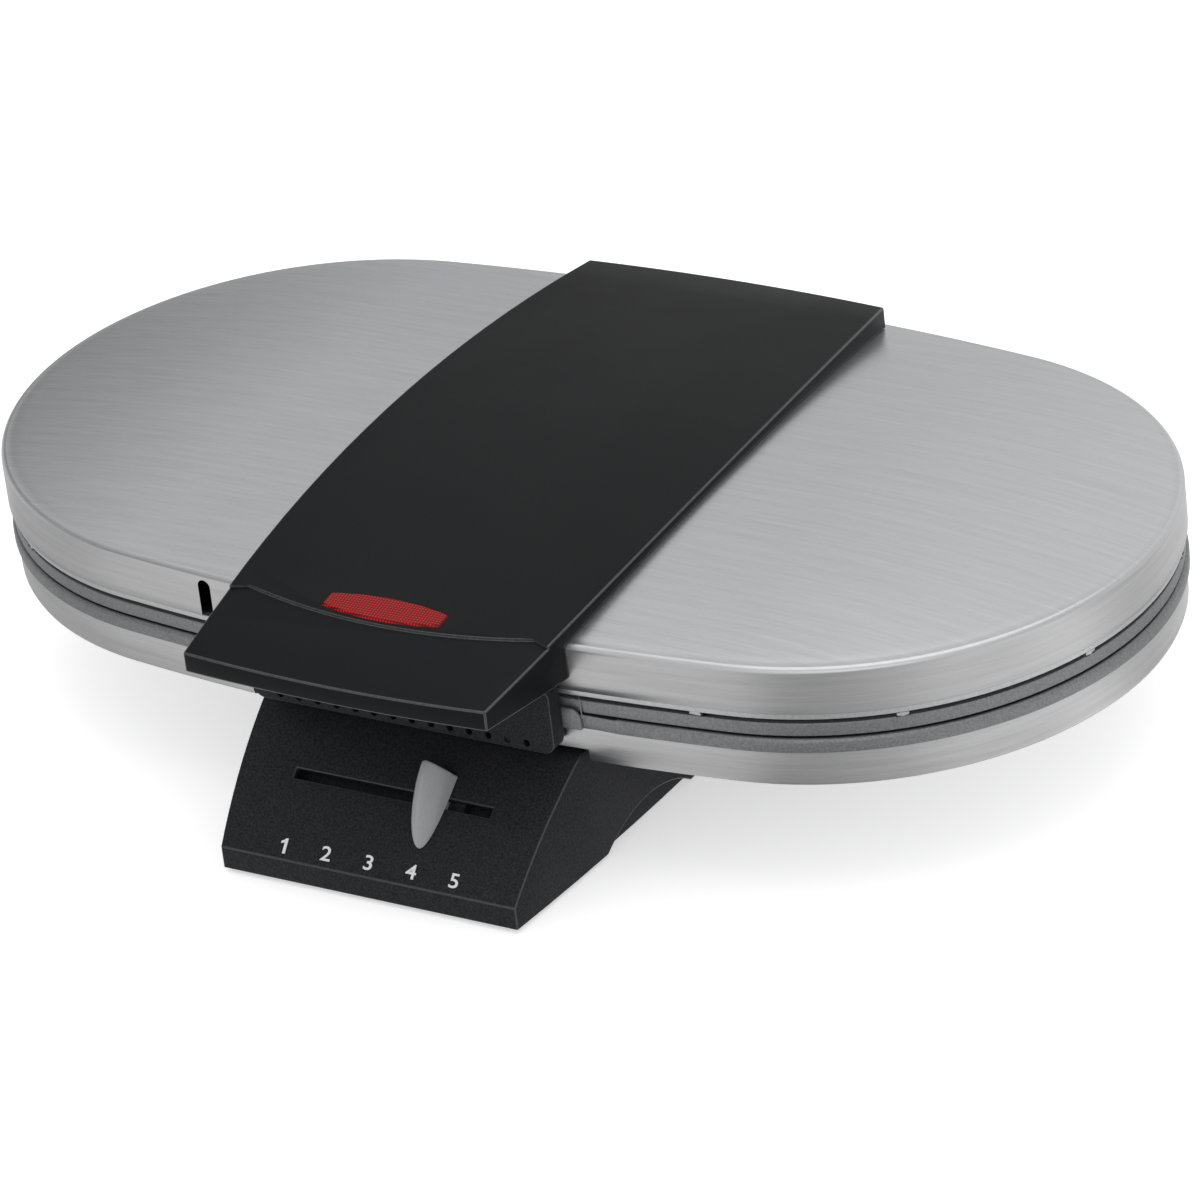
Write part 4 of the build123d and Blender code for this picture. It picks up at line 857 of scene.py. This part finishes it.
class HandleStrip(bpy.types.Operator):
    """Black arched strip with the handle, and the liner under it"""

    bl_idname = "waffle.handle_strip"
    bl_label = "Handle Strip"

    def execute(self, context):
        def on_outside(x, y, z):
            at_end = y < STRIP_FRONT + END_REACH or y > STRIP_BACK - END_REACH
            return at_end or abs(x) > strip_half(y) - SIDE_REACH

        def on_crease(x, y, z):
            beside = abs(y - crease_y(x)) < CREASE_REACH and abs(z - strip_z(y)) < CREASE_DEPTH
            return beside and abs(x) < strip_half(y) - CREASE_STOP

        # Faces of the crease's step get the paler edge finish, a painted highlight
        def finish_at(x, y, z, up):
            risen = abs(up) < LEVEL and abs(z - strip_z(y)) < STEP_DEPTH
            return int(risen and abs(x) < strip_half(y) - STEP_STOP and abs(y - crease_y(x)) < STEP_REACH)

        rounds = ((context.scene.waffle_strip.edge_radius / MM, on_outside), (CREASE_ROUND, on_crease))
        dressed("handle_cover", ["strip", "strip highlight"], rounds, pick=finish_at, edge=1)
        dressed("handle_liner", ["strip"], ((TRIM_ROUND, None),))
        return {"FINISHED"}


class IndicatorWindow(bpy.types.Operator):
    """Long red window with chamfered ends"""

    bl_idname = "waffle.indicator_window"
    bl_label = "Indicator Window"

    def execute(self, context):
        bm = bmesh.new()
        bmesh.ops.create_grid(bm, x_segments=LENS_GRID[0], y_segments=LENS_GRID[1], size=1.0)
        for vert in bm.verts:
            across = LENS_END / 2 + (LENS_HEIGHT - LENS_END) / 2 * (1 - vert.co.x**2)
            vert.co = (vert.co.x * LENS_LENGTH / 2, vert.co.y * across, LENS_PROUD)
        wall = bmesh.ops.extrude_face_region(bm, geom=list(bm.faces))["geom"]
        lowered = [v for v in wall if isinstance(v, bmesh.types.BMVert)]
        bmesh.ops.translate(bm, vec=(0, 0, -LENS_DEPTH), verts=lowered)
        bmesh.ops.recalc_face_normals(bm, faces=bm.faces)
        bm.normal_update()
        corners = [e for e in bm.edges if e.calc_face_angle(0) > LENS_CORNER]
        rims = [e for e in corners if all(v.co.z > 0 for v in e.verts)]
        bmesh.ops.bevel(
            bm, geom=rims, offset=LENS_CHAMFER, offset_type="OFFSET", segments=1, profile=0.5, affect="EDGES",
            material=-1,
        )
        slope = math.asin((STRIP_PEAK_Y - LENS_Y) / STRIP_RADIUS)
        place = Matrix.Translation((LENS_X, LENS_Y, strip_z(LENS_Y))) @ Matrix.Rotation(slope, 4, "X")
        bmesh.ops.transform(bm, matrix=place, verts=bm.verts)
        to_metres(bm)
        add_piece(as_mesh(bm, "window"), "window", "lid", ["lens"], ("indicator_lens",), sharp=20)
        return {"FINISHED"}


class CastPlates(bpy.types.Operator):
    """Cast rims with their tabs and lips, and the coated hearts inside"""

    bl_idname = "waffle.cast_plates"
    bl_label = "Cast Plates"

    def execute(self, context):
        def on_rim(x, y, z):
            return oval_depth(x, y) < RIM_DEPTH

        def on_upper_rim(x, y, z):
            return oval_depth(x, y) < RIM_WALL and z < SEAT_BOTTOM

        def on_lip(x, y, z):
            at_parting = PARTING - LIP_DROP < z < PARTING
            return oval_depth(x, y) < LIP_WALL and at_parting and abs(x) > EAR_HALF

        def on_lower_rim(x, y, z):
            below_parting = LOWER_RIM_BOTTOM - SLACK < z < PARTING
            return oval_depth(x, y) < RIM_WALL and below_parting and (abs(x) > EAR_HALF or y > 0)

        def finish_at(x, y, z, up):
            if oval_depth(x, y) > COATED_DEPTH and abs(z - PARTING) < COATED_REACH:
                return 1
            return 2 if SEAT_BOTTOM < z < LID_BOTTOM + SLACK else 0

        finishes = ["cast", "coated", "machined"]
        edges = ((CAST_ROUND, on_rim),)
        for side in ("left", "right"):
            dressed(f"upper_plate_{side}", finishes, edges, pick=finish_at, near=on_upper_rim)
            dressed(
                f"lower_plate_{side}", finishes, ((LIP_ROUND, on_lip), *edges), pick=finish_at, near=on_rim,
                shift=(on_lower_rim, RIM_STEP)
            )
        return {"FINISHED"}


class LowerPan(bpy.types.Operator):
    """Brushed steel pan of the lower half"""

    bl_idname = "waffle.lower_pan"
    bl_label = "Lower Pan"

    def execute(self, context):
        # The pan takes the walls' darker steel, a painted shade
        dressed("lower_shell", ["shaded side steel"], ((SHEET_ROUND, None),), angle=60.0, uv=True)
        return {"FINISHED"}


class Pedestal(bpy.types.Operator):
    """Console housing, its guard, bottom cover, feet and gland"""

    bl_idname = "waffle.pedestal"
    bl_label = "Pedestal"

    def execute(self, context):
        def everywhere(x, y, z):
            return True

        def on_ends(x, y, z):
            return abs(x) > GUARD_ENDS

        # Rounded edges of the housing and guard take the paler finish, a painted highlight
        finishes = ["housing", "housing highlight"]
        dressed("base_housing", finishes, ((HOUSING_ROUND, everywhere),), edge=1)
        dressed("front_guard", finishes, ((TRIM_ROUND, on_ends),), edge=1)
        dressed("bottom_cover", ["housing"], ((COVER_ROUND, None),))
        dressed("cord_gland", ["housing"], ((TRIM_ROUND, None),))
        for place in ("front_left", "front_right", "rear_left", "rear_right"):
            dressed(f"foot_{place}", ["rubber"], ((RUBBER_ROUND, None),))
        return {"FINISHED"}


class ScaleDigits(bpy.types.Operator):
    """White digits under the slot"""

    bl_idname = "waffle.scale_digits"
    bl_label = "Scale Digits"

    def execute(self, context):
        sizes = context.scene.waffle_console
        for mark in range(MARKS):
            curve = digit_curve(mark + 1, sizes.digit_height / MM)
            curve.extrude = DIGIT_THICKNESS
            curve.offset = DIGIT_WEIGHT
            text = bpy.data.objects.new(curve.name, curve)
            context.scene.collection.objects.link(text)
            mesh = evaluated_mesh(text)
            bpy.data.objects.remove(text)
            bm = bmesh.new()
            bm.from_mesh(mesh)
            x = (mark - (MARKS - 1) / 2) * MARK_PITCH + DIGIT_SHIFT
            bmesh.ops.scale(bm, vec=(DIGIT_STRETCH, 1, 1), verts=bm.verts)
            bmesh.ops.transform(bm, matrix=console_frame(x, sizes.digit_y / MM), verts=bm.verts)
            bmesh.ops.remove_doubles(bm, verts=bm.verts, dist=DIGIT_MERGE)
            to_metres(bm)
            add_piece(as_mesh(bm, f"digit_{mark + 1}"), f"digit_{mark + 1}", "base", ["print"])
        return {"FINISHED"}


def digit_curve(number, height):
    """Flat curve of a digit about its middle; the one is drawn with a flag."""
    if number == 1:
        curve = bpy.data.curves.new("digit_1", "CURVE")
        curve.dimensions, curve.fill_mode = "2D", "BOTH"
        outline = curve.splines.new("POLY")
        outline.points.add(len(FLAGGED_ONE) - 1)
        for point, (x, y) in zip(outline.points, FLAGGED_ONE):
            point.co = (x * height, y * height, 0, 1)
        outline.use_cyclic_u = True
        return curve
    curve = bpy.data.curves.new(f"digit_{number}", "FONT")
    curve.body = str(number)
    curve.size = height * FONT_SIZE
    curve.align_x, curve.align_y = "CENTER", "CENTER"
    return curve


class SliderKnob(bpy.types.Operator):
    """Grey fin-shaped knob on the slot"""

    bl_idname = "waffle.slider_knob"
    bl_label = "Slider Knob"

    def execute(self, context):
        sizes = context.scene.waffle_console
        length, width, height = (s / MM for s in (sizes.knob_length, sizes.knob_width, sizes.knob_height))
        bm = bmesh.new()
        ring = first = list(bmesh.ops.create_circle(bm, segments=KNOB_SIDES, radius=1.0)["verts"])
        for index in range(KNOB_STATIONS):
            share = min(math.sin(math.pi / 2 * index / (KNOB_STATIONS - 1)), KNOB_TIP)
            half = width / 2 * (1 - share**PLAN_POWER) ** 0.5
            tall = KNOB_FOOT + (height - KNOB_FOOT) * (1 - share**RIDGE_POWER)
            tall *= (1 - share**TIP_POWER) ** 0.5
            along = KNOB_ABOVE - share * length
            sink = along**2 / (2 * CONSOLE_RADIUS) * KNOB_SAG
            ring = next_ring(bm, ring) if index else ring
            for step, vert in enumerate(ring):
                x, z = knob_section(step / KNOB_SIDES, half, tall, sink)
                vert.co = (x, along, z)
        cap(bm, first)
        cap(bm, ring)
        stem = bmesh.ops.create_cube(bm, size=1.0)["verts"]
        bmesh.ops.scale(bm, vec=(STEM_LENGTH, STEM_WIDTH, STEM_HEIGHT), verts=stem)
        bmesh.ops.translate(bm, vec=(0, 0, STEM_MIDDLE), verts=stem)
        bmesh.ops.recalc_face_normals(bm, faces=bm.faces)
        end = [e for e in bm.edges if all(abs(v.co.y - KNOB_ABOVE) < 1e-4 for v in e.verts)]
        bmesh.ops.bevel(
            bm, geom=end, offset=KNOB_ROUND, offset_type="OFFSET", segments=3, profile=0.5, affect="EDGES",
            material=-1,
        )
        bmesh.ops.translate(bm, vec=(0, 0, KNOB_LIFT), verts=bm.verts)
        bmesh.ops.transform(bm, matrix=console_frame(REST_STEP * MARK_PITCH, SLOT_Y), verts=bm.verts)
        to_metres(bm)
        add_piece(as_mesh(bm, "knob"), "knob", "slider", ["knob"], ("slider_knob",), sharp=50)
        return {"FINISHED"}


def knob_section(share, half, tall, sink):
    """Point round the knob's section: its ridge left of the middle, its right flank nearly flat."""
    angle = 2 * math.pi * share
    x, z = math.cos(angle), math.sin(angle)
    if z <= 0:
        return half * x, -sink
    rise = z ** (RIGHT_POWER if x > 0 else LEFT_RISE_POWER)
    across = math.copysign(abs(x) ** (RIGHT_POWER if x > 0 else LEFT_ACROSS_POWER), x) * half
    return across - KNOB_LEAN * half * rise, tall * rise - sink * (1 - rise)


class Stage(bpy.types.Operator):
    """Pale floor, soft light and the camera"""

    bl_idname = "waffle.stage"
    bl_label = "Stage"

    def execute(self, context):
        scene = context.scene
        scene.view_settings.view_transform = "Standard"
        add_floor(scene.waffle_stage.floor_colour)
        add_world(scene)
        add_lamps()
        add_camera(scene)
        return {"FINISHED"}


# Camera, with its target in millimetres about the oval's centre
CAMERA_AZIMUTH = 33.0
CAMERA_ELEVATION = 29.08
CAMERA_ROLL = -6.86
CAMERA_DISTANCE = 2224.24
CAMERA_TARGET = (23.2, -34.1, 50.0)
FOCAL = 213.57
SENSOR = 36.0
CLIP = (0.1, 20.0)


def add_camera(scene):
    """Camera at the photograph's viewpoint."""
    azimuth, elevation, roll = (math.radians(a) for a in (CAMERA_AZIMUTH, CAMERA_ELEVATION, CAMERA_ROLL))
    back = Vector((
        math.sin(azimuth) * math.cos(elevation), -math.cos(azimuth) * math.cos(elevation), math.sin(elevation)
    ))
    right = Vector((math.cos(azimuth), math.sin(azimuth), 0.0))
    up = back.cross(right)
    turned_right = right * math.cos(roll) + up * math.sin(roll)
    turned_up = up * math.cos(roll) - right * math.sin(roll)
    data = bpy.data.cameras.new("Camera")
    data.lens = FOCAL
    data.sensor_width = SENSOR
    data.clip_start, data.clip_end = CLIP
    camera = bpy.data.objects.new("Camera", data)
    place = Vector(CAMERA_TARGET) + back * CAMERA_DISTANCE
    turned = Matrix((turned_right, turned_up, back)).transposed().to_4x4()
    camera.matrix_world = Matrix.Translation((place.x * MM, place.y * MM + OVAL_Y, place.z * MM)) @ turned
    scene.collection.objects.link(camera)
    scene.camera = camera


# Brightness that metal sees: on the floor by direction in degrees, and in the surround by how
# far a direction leans to the right
FLOOR_BANDS = (
    (-180, 0.55), (-156, 0.6), (-150, 0.74), (-143, 0.98), (-100, 1.0), (-91, 0.85), (-80, 0.3), (-66, 0.42),
    (-53, 0.6), (-40, 1.0), (-18, 1.05), (-2, 1.4), (10, 0.95), (22, 0.7), (45, 1.0), (110, 0.85),
)
WORLD_STEPS = (
    (-0.95, 0.8), (-0.75, 0.6), (-0.6, 0.22), (-0.5, 0.26), (-0.41, 0.56), (-0.33, 0.72),
    (-0.22, 0.8), (-0.05, 0.92), (0.3, 0.9), (0.6, 0.8),
)
LEAN_AXIS = (0.9, 0.0, 0.25)
FILL = 0.78

# Floor's half side in metres, its glow to the camera, and how much metal sees of the bands
FLOOR_SIZE = 6.0
FLOOR_GLOW = 0.5
BAND_SHARE = 0.7

# Soft boxes: name, place and side in metres, and power in watts
LAMPS = (("Top Box", (0.2, 0.1, 1.7), 1.8, 6.0), ("Front Box", (1.0, -1.5, 1.0), 1.2, 2.0))
LAMP_AIM = Vector((0, 0, 0.06))


def steps(tree, source, stops, low, high):
    """Grey ramp through several stops, each at its share of the way from low to high."""
    made = node(tree, "ShaderNodeValToRGB")
    band = made.color_ramp
    while len(band.elements) < len(stops):
        band.elements.new(1.0)
    for element, (place, grey) in zip(band.elements, stops):
        element.position = (place - low) / (high - low)
        element.color = (grey, grey, grey, 1)
    link(tree, source, made.inputs[0])
    return made


def mirror_rays(tree, light):
    """One for the rays that metal and glass send, from a Light Path node."""
    mirrored = node(tree, "ShaderNodeMath", operation="MAXIMUM")
    link(tree, light.outputs["Is Glossy Ray"], mirrored.inputs[0])
    link(tree, light.outputs["Is Transmission Ray"], mirrored.inputs[1])
    return mirrored.outputs[0]


def add_floor(colour):
    """Large pale floor that shows white to the camera and keeps the object's shadow."""
    bm = bmesh.new()
    bmesh.ops.create_grid(bm, x_segments=2, y_segments=2, size=FLOOR_SIZE)
    mesh = as_mesh(bm, "Floor")
    made, tree, shader = material(
        "Pale Floor", Base_Color=(*colour, 1), Roughness=0.9, Specular_IOR_Level=0.1
    )
    light = node(tree, "ShaderNodeLightPath")
    glow = node(tree, "ShaderNodeMath", operation="MULTIPLY")
    glow.inputs[1].default_value = FLOOR_GLOW
    link(tree, light.outputs["Is Camera Ray"], glow.inputs[0])
    shader.inputs["Emission Color"].default_value = (1, 1, 1, 1)
    link(tree, glow.outputs[0], shader.inputs["Emission Strength"])
    place = node(tree, "ShaderNodeTexCoord")
    shift = node(tree, "ShaderNodeMapping")
    shift.inputs["Location"].default_value = (-END_CENTRE * MM, -OVAL_Y, 0)
    around = node(tree, "ShaderNodeTexGradient", gradient_type="RADIAL")
    link(tree, place.outputs["Object"], shift.inputs["Vector"])
    link(tree, shift.outputs[0], around.inputs["Vector"])
    bands = steps(tree, around.outputs["Fac"], FLOOR_BANDS, -180, 180)
    shown = node(tree, "ShaderNodeEmission")
    link(tree, bands.outputs["Color"], shown.inputs["Color"])
    share = node(tree, "ShaderNodeMath", operation="MULTIPLY")
    share.inputs[1].default_value = BAND_SHARE
    link(tree, mirror_rays(tree, light), share.inputs[0])
    mix = node(tree, "ShaderNodeMixShader")
    link(tree, share.outputs[0], mix.inputs[0])
    link(tree, shader.outputs[0], mix.inputs[1])
    link(tree, shown.outputs[0], mix.inputs[2])
    link(tree, mix.outputs[0], tree.nodes["Material Output"].inputs["Surface"])
    mesh.materials.append(made)
    floor = bpy.data.objects.new("Floor", mesh)
    bpy.context.scene.collection.objects.link(floor)


def add_world(scene):
    """Soft studio surround: white to the camera, a little darker to one side in metal and glass."""
    world = bpy.data.worlds.new("Studio")
    world.use_nodes = True
    tree = world.node_tree
    fill = tree.nodes["Background"]
    fill.inputs["Color"].default_value = (FILL, FILL, FILL, 1)
    place = node(tree, "ShaderNodeTexCoord")
    lean = node(tree, "ShaderNodeVectorMath", operation="DOT_PRODUCT")
    lean.inputs[1].default_value = LEAN_AXIS
    link(tree, place.outputs["Generated"], lean.inputs[0])
    low, high = WORLD_STEPS[0][0], WORLD_STEPS[-1][0]
    level = node(tree, "ShaderNodeMapRange")
    level.inputs["From Min"].default_value, level.inputs["From Max"].default_value = low, high
    link(tree, lean.outputs["Value"], level.inputs["Value"])
    graded = steps(tree, level.outputs["Result"], WORLD_STEPS, low, high)
    light = node(tree, "ShaderNodeLightPath")
    shown = node(tree, "ShaderNodeBackground")
    link(tree, graded.outputs["Color"], shown.inputs["Color"])
    white = node(tree, "ShaderNodeBackground")
    white.inputs["Color"].default_value = (1, 1, 1, 1)
    ground = fill
    for share, above in ((mirror_rays(tree, light), shown), (light.outputs["Is Camera Ray"], white)):
        mix = node(tree, "ShaderNodeMixShader")
        link(tree, share, mix.inputs[0])
        link(tree, ground.outputs[0], mix.inputs[1])
        link(tree, above.outputs[0], mix.inputs[2])
        ground = mix
    link(tree, ground.outputs[0], tree.nodes["World Output"].inputs["Surface"])
    scene.world = world


def add_lamps():
    """Large soft boxes overhead and in front."""
    for name, place, size, power in LAMPS:
        data = bpy.data.lights.new(name, "AREA")
        data.shape = "SQUARE"
        data.size = size
        data.energy = power
        lamp = bpy.data.objects.new(name, data)
        lamp.location = place
        lamp.rotation_mode = "QUATERNION"
        lamp.rotation_quaternion = (LAMP_AIM - Vector(place)).to_track_quat("-Z", "Y")
        bpy.context.scene.collection.objects.link(lamp)


NODE_FINISHES = {
    "housing": ("slider_guide", "slider_carriage", "lamp_holder"),
    "plain steel": (
        "lid_frame", "hinge_arm_left", "hinge_arm_right", "hinge_pin_left", "hinge_pin_right", "pin_clips",
        "upper_heat_shield_left", "upper_heat_shield_right", "lower_heat_shield", "regulator_lever",
        "thermostat_spindle", "fuse_clip", "base_screws", "shell_screws", "lower_plate_screws",
        "guard_screws", "guide_screws", "liner_screws", "arm_screws", "upper_plate_screws",
        "strip_screws", "upper_shield_screws",
    ),
    "heater": ("lower_heater_left", "lower_heater_right", "upper_heater_left", "upper_heater_right"),
    "ceramic": ("thermostat_body", "thermal_fuse", "terminal_block"),
    "glass": ("lamp",),
}


class NodeFinishes(bpy.types.Operator):
    """Every finish, and those of the construction's own pieces"""

    bl_idname = "waffle.node_finishes"
    bl_label = "Node Finishes"

    def execute(self, context):
        FINISHES.update(make_materials(context.scene.waffle_colours))
        for finish, names in NODE_FINISHES.items():
            for name in names:
                mesh = frame["nodes"][name].data
                mesh.materials.clear()
                mesh.materials.append(FINISHES[finish])
        return {"FINISHED"}


class WafflePanel(bpy.types.Panel):
    """Lists the pieces and their sizes"""

    bl_idname = "VIEW3D_PT_waffle"
    bl_label = "Waffle Maker"
    bl_space_type = "VIEW_3D"
    bl_region_type = "UI"
    bl_category = "Waffle"

    def draw(self, context):
        for operator in OPERATORS:
            self.layout.operator(operator.bl_idname)
        for name in PROPERTIES:
            sizes = getattr(context.scene, name)
            for key in sizes.__annotations__:
                self.layout.prop(sizes, key)


OPERATORS = (
    NodeFinishes, LidSkin, HandleStrip, IndicatorWindow, CastPlates, LowerPan, Pedestal, ScaleDigits,
    SliderKnob, Stage,
)
PROPERTIES = {
    "waffle_lid": LidSizes,
    "waffle_strip": StripSizes,
    "waffle_console": ConsoleSizes,
    "waffle_colours": FinishColours,
    "waffle_stage": StageLook,
}


def register():
    for cls in (*PROPERTIES.values(), *OPERATORS, WafflePanel):
        bpy.utils.register_class(cls)
    for name, cls in PROPERTIES.items():
        setattr(bpy.types.Scene, name, PointerProperty(type=cls))


def unregister():
    for name in PROPERTIES:
        delattr(bpy.types.Scene, name)
    for cls in (WafflePanel, *reversed(OPERATORS), *PROPERTIES.values()):
        bpy.utils.unregister_class(cls)


def main():
    """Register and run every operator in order."""
    register()
    for operator in OPERATORS:
        group_name, action = operator.bl_idname.split(".")
        getattr(getattr(bpy.ops, group_name), action)()


if __name__ == "__main__":
    main()
